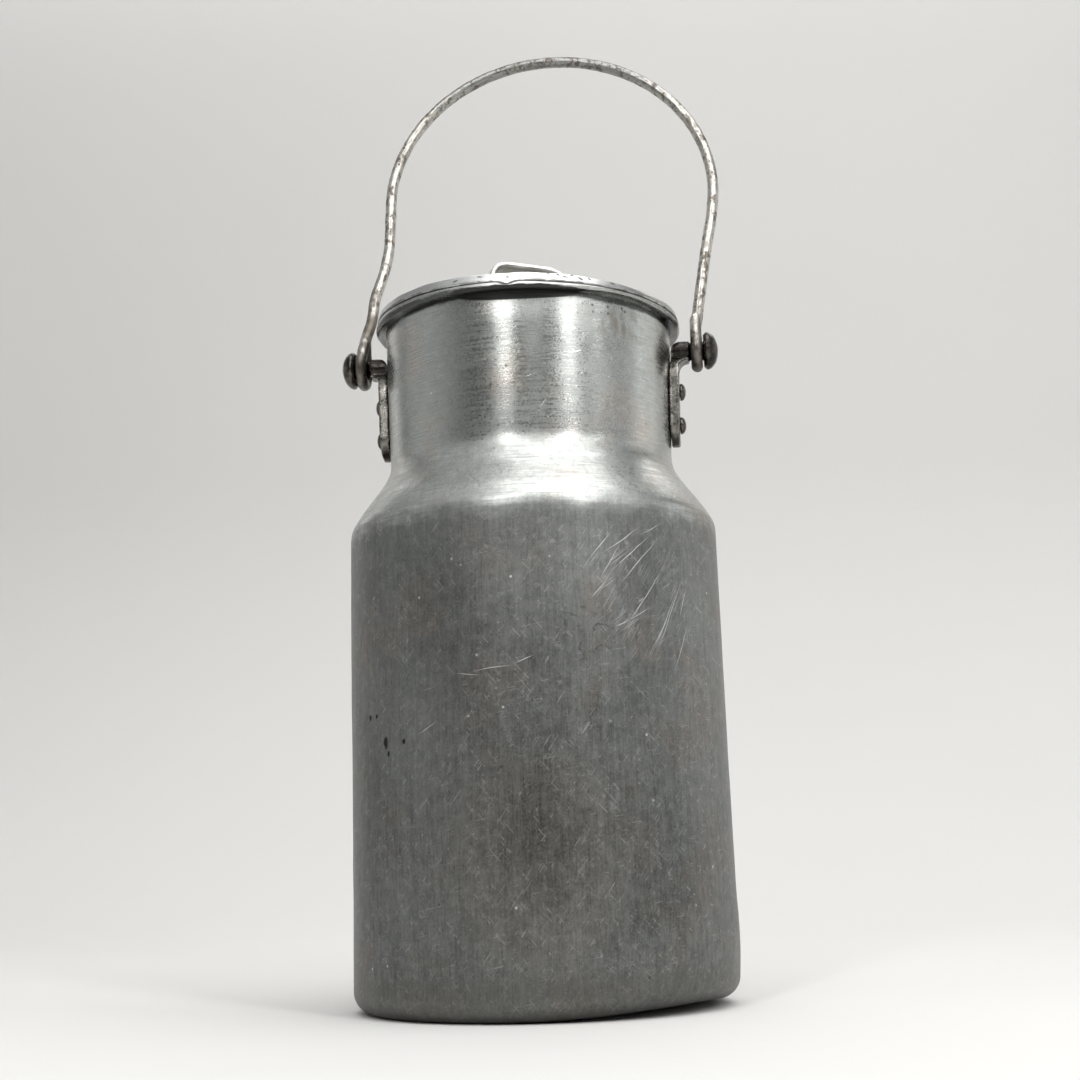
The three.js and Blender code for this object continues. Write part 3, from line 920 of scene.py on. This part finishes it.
def can_warp(x, y, z):
    """Soft unevenness, small hollows, the dent at the base's right, and the bent mouth."""
    radius = math.hypot(x, y)
    if radius < 1e-6:
        return (x, y, z)
    outward = wall_unevenness(x, y, z)
    shoulder_crease = 0.30 * bell(z, 158.0, 2.4)
    outward += shoulder_crease
    # A shallow hollow in front, under the mouth.
    outward -= 0.42 * bell_round(x, y, -93.0, 17.0) * bell(z, 225.5, 4.2) * smooth(z, 229.0, 227.0)
    for direction, width, height, tall, depth in WALL_HOLLOWS:
        outward -= depth * bell_round(x, y, direction, width) * bell(z, height, tall)
    # The corner of the base is pushed up and the wall above it bulges.
    at_dent = bell_round(x, y, BASE_DENT_AT, 38.0)
    low = smooth(radius, 40.0, 60.0)
    bulge = 1.5 * bell(z, 11.0, 18.0) + 1.9 * smooth(z, 150.0, 10.0) * smooth(z, 0.0, 30.0)
    outward += low * at_dent * bulge
    lift = 3.2 * low * at_dent * smooth(z, 26.0, 2.0)
    # The bead is squeezed thin at its right and thick at its left.
    squeezed = 1.35 * bell_round(x, y, -42.0, 26.0) - 0.9 * bell_round(x, y, -150.0, 26.0)
    lift += squeezed * smooth(z, 218.0, 228.0) * smooth(MOUTH_TOP - z, 0.2, 2.4)
    scale = 1.0 + outward / radius
    return (x * scale, y * scale, z + lift + mouth_shift(x, y, z))


def can_outer_line():
    """The can's outside, from the middle of the base up to the underside of the bead."""
    base = [
        (0.0, BASE_PANEL_RISE),
        (BASE_PANEL_RADIUS - 0.8, BASE_PANEL_RISE),
        (BASE_PANEL_RADIUS + 0.6, BASE_PANEL_RISE - 0.3),
        (BASE_PANEL_RADIUS + BASE_PANEL_SLOPE - 0.6, 0.3),
        (BASE_PANEL_RADIUS + BASE_PANEL_SLOPE + 0.8, 0.0),
    ]
    line = subdivided(base, 6.0)
    line += arc(BODY_RADIUS - CORNER_RADIUS, CORNER_RADIUS, CORNER_RADIUS, -90, 0, 14)
    line += subdivided([(BODY_RADIUS, CORNER_RADIUS), (BODY_RADIUS, WALL_TOP)], WALL_STEP)[1:-1]
    steps = 30
    for i in range(steps + 1):
        s = i / steps
        radius = BODY_RADIUS + (NECK_RADIUS_LOW - BODY_RADIUS) * smooth(s, 0.0, 1.0)
        line.append((radius, WALL_TOP + (NECK_BOTTOM - WALL_TOP) * s))
    neck = [(neck_radius(z), z) for z in (NECK_BOTTOM, MOUTH_TOP - BEAD_HEIGHT)]
    return line + subdivided(neck, 1.6)[1:]


def can_bead():
    """The rolled mouth: its face leans over, so it looks down a little."""
    low = MOUTH_TOP - BEAD_HEIGHT
    return [
        (NECK_RADIUS_HIGH + 0.9, low - 0.05),
        (BEAD_RADIUS - 1.5, low),
        *arc(BEAD_RADIUS - 1.10, low + 0.6, 0.6, -80, -12, 5),
        *arc(BEAD_RADIUS - 1.3, MOUTH_TOP - 1.5, 1.3, -8, 90, 10, 1.5),
        (NECK_RADIUS_HIGH + 1.2, MOUTH_TOP),
        (NECK_RADIUS_HIGH, MOUTH_TOP - 0.05),
        (NECK_RADIUS_HIGH - 0.6, MOUTH_TOP - 0.35),
        (NECK_RADIUS_HIGH - SHEET, MOUTH_TOP - SHEET),
    ]


def make_can(material):
    outer = can_outer_line()
    inner = offset_left(outer, SHEET)
    inner[0] = (0.0, BASE_PANEL_RISE + SHEET)
    inner = inner[:-1][::-1]
    vertices, faces = revolve(outer + can_bead() + inner, ROUND_SEGMENTS, can_warp)
    can = make_piece("can_shell", vertices, faces, material, crease=50)
    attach(can, "can")
    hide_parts("can_body")


# ---- Lid ------------------------------------------------------------------------------------------


def lid_warp(x, y, z):
    """The lid's edge follows the bent mouth, with its own knocks, and clears the bail on the left."""
    radius = math.hypot(x, y)
    if radius < 1e-6:
        return (x, y, z)
    on_edge = smooth(radius, 47.6, 50.5) * smooth(z, 225.0, 230.0)
    outward = on_edge * 0.22 * ripple(x, y, z, 15.0, 4.4)
    at_left = bell_round(x, y, 174.0, 22.0)
    outward -= on_edge * 0.55 * at_left
    crushed = 0.85 * bell_round(x, y, -38.0, 30.0) * max(0.0, z - LID_SEAT) / LID_EDGE_HEIGHT
    knocks = 0.16 * ripple(x, y, z, 7.0, 8.8) * max(0.0, z - LID_SEAT) / LID_EDGE_HEIGHT
    lift = on_edge * (mouth_shift(x, y, z) - crushed + knocks + 0.30 * at_left)
    scale = 1.0 + outward / radius
    return (x * scale, y * scale, z + lift)


def lid_under_line():
    plug_high = NECK_RADIUS_HIGH - SHEET - PLUG_CLEARANCE
    plug_low = neck_radius(PAN_BOTTOM) - SHEET - PLUG_CLEARANCE
    panel = [
        (0.0, PANEL_UNDER),
        (LID_PANEL_RADIUS - 1.2, PANEL_UNDER),
        (LID_PANEL_RADIUS, PANEL_UNDER - 0.35),
        (LID_PANEL_RADIUS + LID_PANEL_RISE, PAN_BOTTOM + 0.35),
        (LID_PANEL_RADIUS + LID_PANEL_RISE + 1.2, PAN_BOTTOM),
    ]
    line = subdivided(panel, 3.0)
    line += arc(plug_low - PAN_CORNER, PAN_BOTTOM + PAN_CORNER, PAN_CORNER, -90, 0, 8)
    line += subdivided([(plug_low, PAN_BOTTOM + PAN_CORNER), (plug_high, LID_SEAT - SHEET)], 1.5)[1:]
    line += [(plug_high + 0.35, LID_SEAT - 0.35), (plug_high + SHEET, LID_SEAT)]
    return line


def lid_edge():
    """The rolled edge: its face leans back, so it looks up a little."""
    high = LID_SEAT + LID_EDGE_HEIGHT
    return [
        (BEAD_RADIUS - 1.4, LID_SEAT + 0.02),
        (BEAD_RADIUS - 0.95, LID_SEAT - 0.25),
        *arc(BEAD_RADIUS - 0.45, LID_SEAT - 0.1, 0.45, -85, 16, 6),
        *arc(BEAD_RADIUS - 1.45, high - 0.9, 0.9, 22, 96, 7),
        *arc(BEAD_RADIUS - 1.9, high - 0.9, 0.9, 100, 165, 4),
        (BEAD_RADIUS - 2.9, LID_SEAT + SHEET + 0.35),
    ]


def make_lid(material):
    under = lid_under_line()
    top = offset_left(under, SHEET)
    top[0] = (0.0, PANEL_TOP)
    top = top[:-1][::-1]
    vertices, faces = revolve(under + lid_edge() + top, ROUND_SEGMENTS, lid_warp)
    lid = make_piece("lid_pan", vertices, faces, material, crease=50)
    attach(lid, "lid")
    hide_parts("lid_cap")


def handle_line():
    """The middle of the handle's strap in X and Z, from one foot over the arch to the other."""
    low = PANEL_TOP + GAP + HANDLE_THICKNESS / 2
    high = HANDLE_TOP - HANDLE_THICKNESS / 2
    end = HANDLE_HALF_STANCE + HANDLE_FOOT
    bend, tight, wide = HANDLE_FOOT_BEND, HANDLE_TIGHT_BEND, HANDLE_WIDE_BEND
    left_foot = arc(-HANDLE_HALF_STANCE - bend, low + bend, bend, -90, -8, 8)
    left_corner = arc(-HANDLE_HALF_BAR + tight, high - tight, tight, 172, 92, 10)
    right_corner = arc(HANDLE_HALF_BAR - wide, high - HANDLE_SAG - wide, wide, 84, 8, 12)
    right_foot = arc(HANDLE_HALF_STANCE + bend, low + bend, bend, 188, 270, 8)
    line = [(-end, low)] + left_foot + left_corner + right_corner + right_foot + [(end, low)]
    return eased(subdivided(line, 0.9), 8)


def strap_section(half_width, half_thickness, corner):
    """A flat bar's section with rounded edges, as (side, up) points. Their number never changes."""
    parts_of_face = 7
    points = []
    for cx, cy, start in ((1, 1, 0), (-1, 1, 90), (-1, -1, 180), (1, -1, 270)):
        centre = (cx * (half_width - corner), cy * (half_thickness - corner))
        points += arc(*centre, corner, start, start + 90, 5)
        if cx == cy:
            # A wide face follows this corner, from where the corner ends to the far side.
            x, y = points[-1]
            points += [(x - 2 * x * i / parts_of_face, y) for i in range(1, parts_of_face)]
    return points


def make_handle(material):
    line = handle_line()
    ends = HANDLE_HALF_STANCE + HANDLE_FOOT
    rounded = HANDLE_WIDTH * 0.42
    path = [Vector((x, 0.0, z)) for x, z in line]

    def section_at(i):
        x, z = line[i]
        # The feet are rounded off in plan.
        past = max(0.0, abs(x) - (ends - rounded)) / rounded
        narrow = math.sqrt(max(0.02, 1.0 - 0.93 * past * past))
        half = HANDLE_WIDTH / 2 * narrow * (1.0 + 0.012 * ripple(x, 0.0, z, 6.0, 2.2))
        return strap_section(half, HANDLE_THICKNESS / 2, min(HANDLE_CORNER, half * 0.4))

    vertices, faces = sweep(path, section_at)
    turned = Matrix.Rotation(HANDLE_TURN, 4, "Z")
    uneven = [
        (x, y + 0.25 * ripple(x, y, z, 18.0, 6.1), z + 0.12 * ripple(x, y, z, 7.0, 9.3))
        for x, y, z in vertices
    ]
    handle = make_piece("lid_handle_strap", placed(uneven, turned), faces, material, crease=50)
    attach(handle, "lid")
    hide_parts("lid_handle")


# ---- Rivets ---------------------------------------------------------------------------------------


def rivet_profile(clench_at, head_at):
    """A rivet along its own axis: the clenched end first, then the shank and the domed head."""
    rim = 0.35
    clench = arc(0.0, clench_at - rim, CLENCH_RADIUS, -90, 0, 10, CLENCH_HEIGHT - rim)
    head = arc(0.0, head_at + rim, RIVET_HEAD_RADIUS, 0, 90, 12, RIVET_HEAD_HEIGHT - rim)
    return (
        clench
        + [(CLENCH_RADIUS - 0.1, clench_at), (SHANK_RADIUS, clench_at), (SHANK_RADIUS, head_at)]
        + [(RIVET_HEAD_RADIUS - 0.15, head_at)]
        + head
    )


def hammered(seed):
    """A warp that makes each rivet a little out of round, with hammer flats."""

    def warp(x, y, z):
        radius = math.hypot(x, y)
        off = 0.06 * smooth(radius, SHANK_RADIUS, RIVET_HEAD_RADIUS)
        lumps = 0.10 * smooth(radius, 0.4, 1.8)
        scale = 1.0 + 0.03 * ripple(x, y, z, 2.2, seed) * smooth(radius, 1.7, 2.8)
        return (
            x * scale + off * math.sin(3 * seed),
            y * scale + off * math.cos(5 * seed),
            z + lumps * ripple(x, y, z, 1.9, seed + 1.7),
        )

    return warp


def make_lid_rivets(material):
    for side, sign, seed in (("right", 1, 1.4), ("left", -1, 4.9)):
        profile = rivet_profile(PANEL_UNDER - GAP, FOOT_TOP + GAP * 0.5)
        vertices, faces = revolve(profile, SMALL_SEGMENTS, hammered(seed))
        place = Matrix.Rotation(HANDLE_TURN, 4, "Z") @ Matrix.Translation((sign * LID_RIVET_X, 0, 0))
        rivet = make_piece(f"lid_rivet_{side}_head", placed(vertices, place), faces, material)
        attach(rivet, "lid")
        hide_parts(f"lid_rivet_{side}")


def washer_face(z):
    inside = neck_radius(z) - SHEET
    return math.sqrt(inside * inside - WASHER_RADIUS * WASHER_RADIUS) - GAP


def make_ear_rivets(material):
    seed = 2.3
    for side, turn in (("right", 0.0), ("left", math.pi)):
        for level, height in RIVET_HEIGHT.items():
            seed += 1.9
            outer = washer_face(height)
            inner = outer - WASHER_THICKNESS
            profile = rivet_profile(inner - GAP * 0.6, strap_face(height) + GAP * 0.5)
            vertices, faces = revolve(profile, SMALL_SEGMENTS, hammered(seed))
            rivet = make_piece(
                f"ear_rivet_{side}_{level}_head", placed(vertices, about_x(height, turn)), faces, material
            )
            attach(rivet, "can")
            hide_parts(f"ear_rivet_{side}_{level}")
            make_washer(f"{side}_{level}", inner, outer, about_x(height, turn), seed, material)


def make_washer(where, inner, outer, place, seed, material):
    hole, edge = SHANK_RADIUS + GAP, 0.2
    profile = [
        (hole + edge, inner),
        *arc(WASHER_RADIUS - edge, inner + edge, edge, -90, 0, 3),
        *arc(WASHER_RADIUS - edge, outer - edge, edge, 0, 90, 3),
        (hole + edge, outer),
        (hole, outer - edge),
        (hole, inner + edge),
    ]
    vertices, faces = revolve(profile, SMALL_SEGMENTS)
    bent = [(x, y, z + 0.07 * ripple(x, y, 0.0, 5.0, seed)) for x, y, z in vertices]
    washer = make_piece(f"rivet_washer_{where}_disc", placed(bent, place), faces, material)
    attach(washer, "can")
    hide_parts(f"rivet_washer_{where}")


# ---- Ears -----------------------------------------------------------------------------------------


def ear_side_outline():
    """The ear seen from the side, in X and Z: strap, elbow and the root of the stud."""
    bottom = RIVET_HEIGHT["lower"] - STRAP_WIDTH / 2
    back = NECK_RADIUS_LOW - 2
    elbow_low = STUD_HEIGHT - ELBOW_HALF_HEIGHT
    top = STUD_HEIGHT + ELBOW_HALF_HEIGHT
    face = strap_face(elbow_low - ELBOW_FILLET)
    return [
        (back, bottom),
        (strap_face(bottom), bottom),
        *arc(face + ELBOW_FILLET, elbow_low - ELBOW_FILLET, ELBOW_FILLET, 180, 90, 10),
        (ELBOW_END, elbow_low),
        (ELBOW_END, top),
        *arc(NECK_RADIUS_HIGH + ELBOW_RADIUS, top - ELBOW_RADIUS, ELBOW_RADIUS, 90, 180, 10),
        (back, top - ELBOW_RADIUS),
    ]


def ear_front_outline():
    """The ear seen from outside, in Y and Z: a round lower end and shoulders drawn in to the stud."""
    half = STRAP_WIDTH / 2
    shoulder = STUD_HEIGHT - EAR_SHOULDER_DROP
    right = [(half, shoulder), (0.92 * half, shoulder + 2.4), (0.72 * half, shoulder + 4.6)]
    left = [(-y, z) for y, z in reversed(right)]
    lower = arc(0.0, RIVET_HEIGHT["lower"], half, 180, 360, 28)
    return lower + right + arc(0.0, STUD_HEIGHT, ELBOW_HALF_HEIGHT + 0.2, -40, 220, 24) + left


def stud_profile():
    return [
        (0.0, ELBOW_END - 2),
        (STUD_RADIUS, ELBOW_END - 2),
        (STUD_RADIUS, HEAD_START),
        (HEAD_RADIUS - HEAD_RIM, HEAD_START),
        *arc(0.0, HEAD_START + HEAD_RIM, HEAD_RADIUS, 0, 90, 16, HEAD_END - HEAD_START - HEAD_RIM),
    ]


def make_ear_blank():
    """One ear as a crisp solid: two prisms crossed, the neck cut away, the stud joined, the holes cut."""
    side = prism(ear_side_outline(), -STRAP_WIDTH, STRAP_WIDTH, lambda a, b, d: (a, d, b))
    front = prism(ear_front_outline(), NECK_RADIUS_LOW - 3, ELBOW_END + 1, lambda a, b, d: (d, a, b))
    low, high = NECK_BOTTOM - 2, MOUTH_TOP
    neck_profile = [(0.0, low), (neck_radius(low) + GAP, low), (neck_radius(high) + GAP, high), (0.0, high)]
    neck = revolve(neck_profile, 256)
    stud_vertices, stud_faces = revolve(stud_profile(), SMALL_SEGMENTS)
    steps = [
        ("INTERSECT", make_object("front", *front)),
        ("DIFFERENCE", make_object("neck", *neck)),
        ("UNION", make_object("stud", placed(stud_vertices, about_x(STUD_HEIGHT)), stud_faces)),
    ]
    for height in RIVET_HEIGHT.values():
        hole = SHANK_RADIUS + GAP
        drill = [(0.0, NECK_RADIUS_LOW - 5), (hole, NECK_RADIUS_LOW - 5), (hole, HEAD_END), (0.0, HEAD_END)]
        vertices, faces = revolve(drill, 24)
        steps.append(("DIFFERENCE", make_object("drill", placed(vertices, about_x(height)), faces)))
    blank = make_object("ear_blank", *side)
    for operation, tool in steps:
        cut = blank.modifiers.new(operation, "BOOLEAN")
        cut.operation = operation
        cut.solver = "EXACT"
        cut.object = tool
    forged = blank.modifiers.new("forged", "REMESH")
    forged.mode = "VOXEL"
    forged.voxel_size = 0.001 * FORGING_VOXEL
    soften = blank.modifiers.new("soften", "SMOOTH")
    soften.factor = 0.5
    soften.iterations = FORGING_SOFTENED
    shape = blank.evaluated_get(bpy.context.evaluated_depsgraph_get())
    mesh = bpy.data.meshes.new_from_object(shape)
    vertices = [tuple(1000.0 * c for c in v.co) for v in mesh.vertices]
    faces = [tuple(p.vertices) for p in mesh.polygons]
    for solid in [blank] + [tool for _, tool in steps]:
        bpy.data.objects.remove(solid)
    return vertices, faces


def make_ears(material):
    blank, faces = make_ear_blank()
    for side, turn, seed in (("right", 0.0, 1.1), ("left", math.pi, 6.2)):
        # Forging marks on the outer face, but none on the stud, which the bail turns on.
        forged = []
        for x, y, z in blank:
            outside = smooth(x, neck_radius(z) + 1.2, strap_face(z))
            on_strap = smooth(z, STUD_HEIGHT - 5, STUD_HEIGHT - 8)
            on_head = smooth(x, HEAD_START + 1.5, HEAD_START + 3.5)
            depth = 0.16 * outside * on_strap + 0.14 * on_head
            wave = ripple(x, y, z, 3.4, seed) + 0.4 * ripple(x, y, z, 1.3, seed + 2)
            forged.append((x + depth * wave, y + 0.08 * on_strap * ripple(x, y, z, 4.0, seed + 5), z))
        ear = make_piece(
            f"ear_{side}_forging", placed(forged, Matrix.Rotation(turn, 4, "Z")), faces, material, crease=70
        )
        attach(ear, "can")
        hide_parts(f"ear_{side}")


# ---- Bail -----------------------------------------------------------------------------------------


def eye_points(x):
    """The wire round one stud, from the strand on the -Y side, under the stud, to the +Y side."""
    points = []
    for degrees in range(50, 311, 20):
        a = math.radians(degrees)
        points.append((x, -EYE_RADIUS * math.sin(a), EYE_RADIUS * math.cos(a)))
    return points


def bail_points():
    """The middle of the wire, from the stud's axis, with the crown straight above."""
    crown = [(x, 0.0, z) for x, z in arc(CROWN_X, CROWN_HEIGHT, CROWN_RADIUS, -8, 184, 16)]
    return [
        (EYE_X, -STRAND_OFFSET, TIP_HEIGHT),
        (EYE_X, -STRAND_OFFSET, STRAND_HEIGHT),
        *eye_points(EYE_X),
        (EYE_X, STRAND_OFFSET, STRAND_HEIGHT),
        (EYE_X + 0.7, 1.6, 14.0),
        (EYE_X + 2.0, 0.7, 22.0),
        (EYE_X + 5.0, 0.0, 40.0),
        *crown,
        (-EYE_X + 7.9, -0.2, 47.0),
        (-EYE_X + 6.1, -0.7, 37.0),
        (-EYE_X + 3.6, -1.1, 27.5),
        (-EYE_X + 2.6, -1.6, 18.0),
        (-EYE_X + 1.1, -STRAND_OFFSET, 12.0),
        *eye_points(-EYE_X),
        (-EYE_X, STRAND_OFFSET, STRAND_HEIGHT),
        (-EYE_X, STRAND_OFFSET, TIP_HEIGHT),
    ]


def centripetal(p0, p1, p2, p3, t):
    """A point of the Catmull-Rom curve between p1 and p2, paced by the roots of the chords."""
    t0 = 0.0
    t1 = t0 + math.sqrt((p1 - p0).length)
    t2 = t1 + math.sqrt((p2 - p1).length)
    t3 = t2 + math.sqrt((p3 - p2).length)
    t = t1 + (t2 - t1) * t
    a1 = p0 * ((t1 - t) / (t1 - t0)) + p1 * ((t - t0) / (t1 - t0))
    a2 = p1 * ((t2 - t) / (t2 - t1)) + p2 * ((t - t1) / (t2 - t1))
    a3 = p2 * ((t3 - t) / (t3 - t2)) + p3 * ((t - t2) / (t3 - t2))
    b1 = a1 * ((t2 - t) / (t2 - t0)) + a2 * ((t - t0) / (t2 - t0))
    b2 = a2 * ((t3 - t) / (t3 - t1)) + a3 * ((t - t1) / (t3 - t1))
    return b1 * ((t2 - t) / (t2 - t1)) + b2 * ((t - t1) / (t2 - t1))


def wire_path(points, step):
    """A smooth curve through points, at about even steps."""
    knots = [Vector(p) for p in points]
    knots = [2 * knots[0] - knots[1]] + knots + [2 * knots[-1] - knots[-2]]
    path = []
    for i in range(1, len(knots) - 2):
        count = max(2, round((knots[i + 1] - knots[i]).length / step))
        for k in range(count):
            path.append(centripetal(*knots[i - 1 : i + 3], k / count))
    path.append(knots[-2])
    return path


def make_bail(material):
    path = wire_path(bail_points(), WIRE_STEP)
    last = len(path) - 1
    cut = [0.72, 0.90, 0.97]  # the wire's ends are rounded off a little

    def section_at(i):
        from_end = min(i, last - i)
        round_off = cut[from_end] if from_end < len(cut) else 1.0
        here = path[i]
        points = []
        for k in range(WIRE_SIDES):
            a = 2 * math.pi * k / WIRE_SIDES
            dx, dy = math.cos(a), math.sin(a)
            wear = 0.05 * ripple(here.x + 2 * dx, here.y + 2 * dy, here.z, 5.0, 3.7)
            wear += 0.03 * ripple(here.x + 2 * dx, here.y + 2 * dy, here.z, 1.8, 1.9)
            radius = WIRE_RADIUS * round_off * (0.985 + wear)
            points.append((radius * dx, radius * dy))
        return points

    vertices, faces = sweep(path, section_at)
    lean = Matrix.Translation((0, 0, STUD_HEIGHT)) @ Matrix.Rotation(-BAIL_LEAN, 4, "X")
    bail = make_piece("bail_wire_loop", placed(vertices, lean), faces, material)
    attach(bail, "bail")
    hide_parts("bail")


# ---- Stage, lights and camera ---------------------------------------------------------------------


CAMERA_PLACE = (0.05745, -0.55686, 0.0474)
CAMERA_HEADING = math.radians(-5.663)
CAMERA_PITCH = math.radians(10.904)
CAMERA_ROLL = -0.02836
CAMERA_LENS = 55.17


def make_camera():
    """The photograph's viewpoint: low, a little to the right of the front, looking up."""
    heading, roll = CAMERA_HEADING, CAMERA_ROLL
    ahead = math.cos(CAMERA_PITCH)
    forward = Vector((math.sin(heading) * ahead, math.cos(heading) * ahead, math.sin(CAMERA_PITCH)))
    level = forward.cross(Vector((0, 0, 1))).normalized()
    above = level.cross(forward)
    right = level * math.cos(roll) + above * math.sin(roll)
    up = above * math.cos(roll) - level * math.sin(roll)
    data = bpy.data.cameras.new("camera")
    data.sensor_width = 36.0
    data.lens = CAMERA_LENS
    data.clip_start = 0.01
    camera = bpy.data.objects.new("camera", data)
    bpy.context.scene.collection.objects.link(camera)
    turn = Matrix((right, up, -forward)).transposed().to_4x4()
    camera.matrix_world = Matrix.Translation(CAMERA_PLACE) @ turn
    bpy.context.scene.camera = camera


def make_stage():
    """A plain pale floor and a plain pale backdrop some way behind the can."""
    half, behind, height, bend = 2600.0, 900.0, 2600.0, 400.0
    profile = [(-half, 0.0), (behind - bend, 0.0)]
    profile += arc(behind - bend, bend, bend, -90, 0, 16)[1:] + [(behind, height)]
    count = len(profile)
    vertices = [(-half, y, z) for y, z in profile] + [(half, y, z) for y, z in profile]
    faces = [(i, i + count, i + count + 1, i + 1) for i in range(count - 1)]
    stage = make_piece("stage_sweep", vertices, faces, plain_pale("stage_pale", (0.80, 0.79, 0.77), 0.85))


LIGHTS_AIM = (0.0, 0.0, 190.0)


def add_light(name, power, size, azimuth, elevation, distance, aim=LIGHTS_AIM):
    """A soft box round the can. Azimuth 0 is in front of it, and 90 at its right."""
    data = bpy.data.lights.new(name, "AREA")
    data.energy = power
    data.shape = "RECTANGLE"
    data.size, data.size_y = metres(size)
    light = bpy.data.objects.new(name, data)
    bpy.context.scene.collection.objects.link(light)
    a, e = math.radians(azimuth), math.radians(elevation)
    towards = Vector((math.sin(a) * math.cos(e), -math.cos(a) * math.cos(e), math.sin(e)))
    light.location = 0.001 * (Vector(aim) + distance * towards)
    light.rotation_mode = "QUATERNION"
    light.rotation_quaternion = towards.to_track_quat("Z", "Y")


def make_world():
    """Soft surroundings: dim in front, where the camera stands, and paler at the sides and behind."""
    world = bpy.data.worlds.new("world")
    tree = Tree(world)
    direction = tree.add("TexCoord").outputs["Generated"]
    towards_front = {0: direction, 1: (-0.10, -0.97, -0.20)}
    facing = tree.add("VectorMath", towards_front, operation="DOT_PRODUCT").outputs["Value"]
    levels = {"Value": facing, "From Min": 0.20, "From Max": 0.95, "To Min": 0.55, "To Max": 0.04}
    level = tree.add("MapRange", levels, interpolation_type="SMOOTHSTEP").outputs["Result"]
    background = tree.add("Background", {"Color": (0.97, 0.99, 1.0, 1.0), "Strength": level})
    tree.add("OutputWorld", {"Surface": background.outputs[0]})
    bpy.context.scene.world = world


def make_lights():
    add_light("overhead_box", 4.9, (980, 620), 41, 74, 1100)
    add_light("strip_left", 2.4, (90, 700), -13, 34, 1000)
    add_light("strip_between", 0.7, (260, 700), 10, 34, 1000)
    add_light("strip_middle", 3.0, (110, 700), 37, 34, 1000)
    add_light("strip_right", 0.7, (50, 700), 60, 34, 1000)
    add_light("fill_right", 1.4, (700, 900), 112, 12, 1300)
    add_light("fill_left", 0.6, (500, 700), -135, 20, 1300)
    add_light("backdrop_wash", 8.0, (1600, 300), 180, 62, 900, aim=(0.0, 500.0, 300.0))
    bpy.context.scene.view_settings.view_transform = "Standard"


# ---- Everything -----------------------------------------------------------------------------------

make_camera()
make_stage()
make_world()
make_lights()

make_can(can_aluminium())
make_lid(lid_aluminium())
make_handle(handle_aluminium())
make_lid_rivets(rivet_aluminium())
make_ears(ear_steel("ear_steel_blackened", 1.0))
make_ear_rivets(ear_steel("rivet_steel_blackened", 0.2))
make_bail(bail_steel())
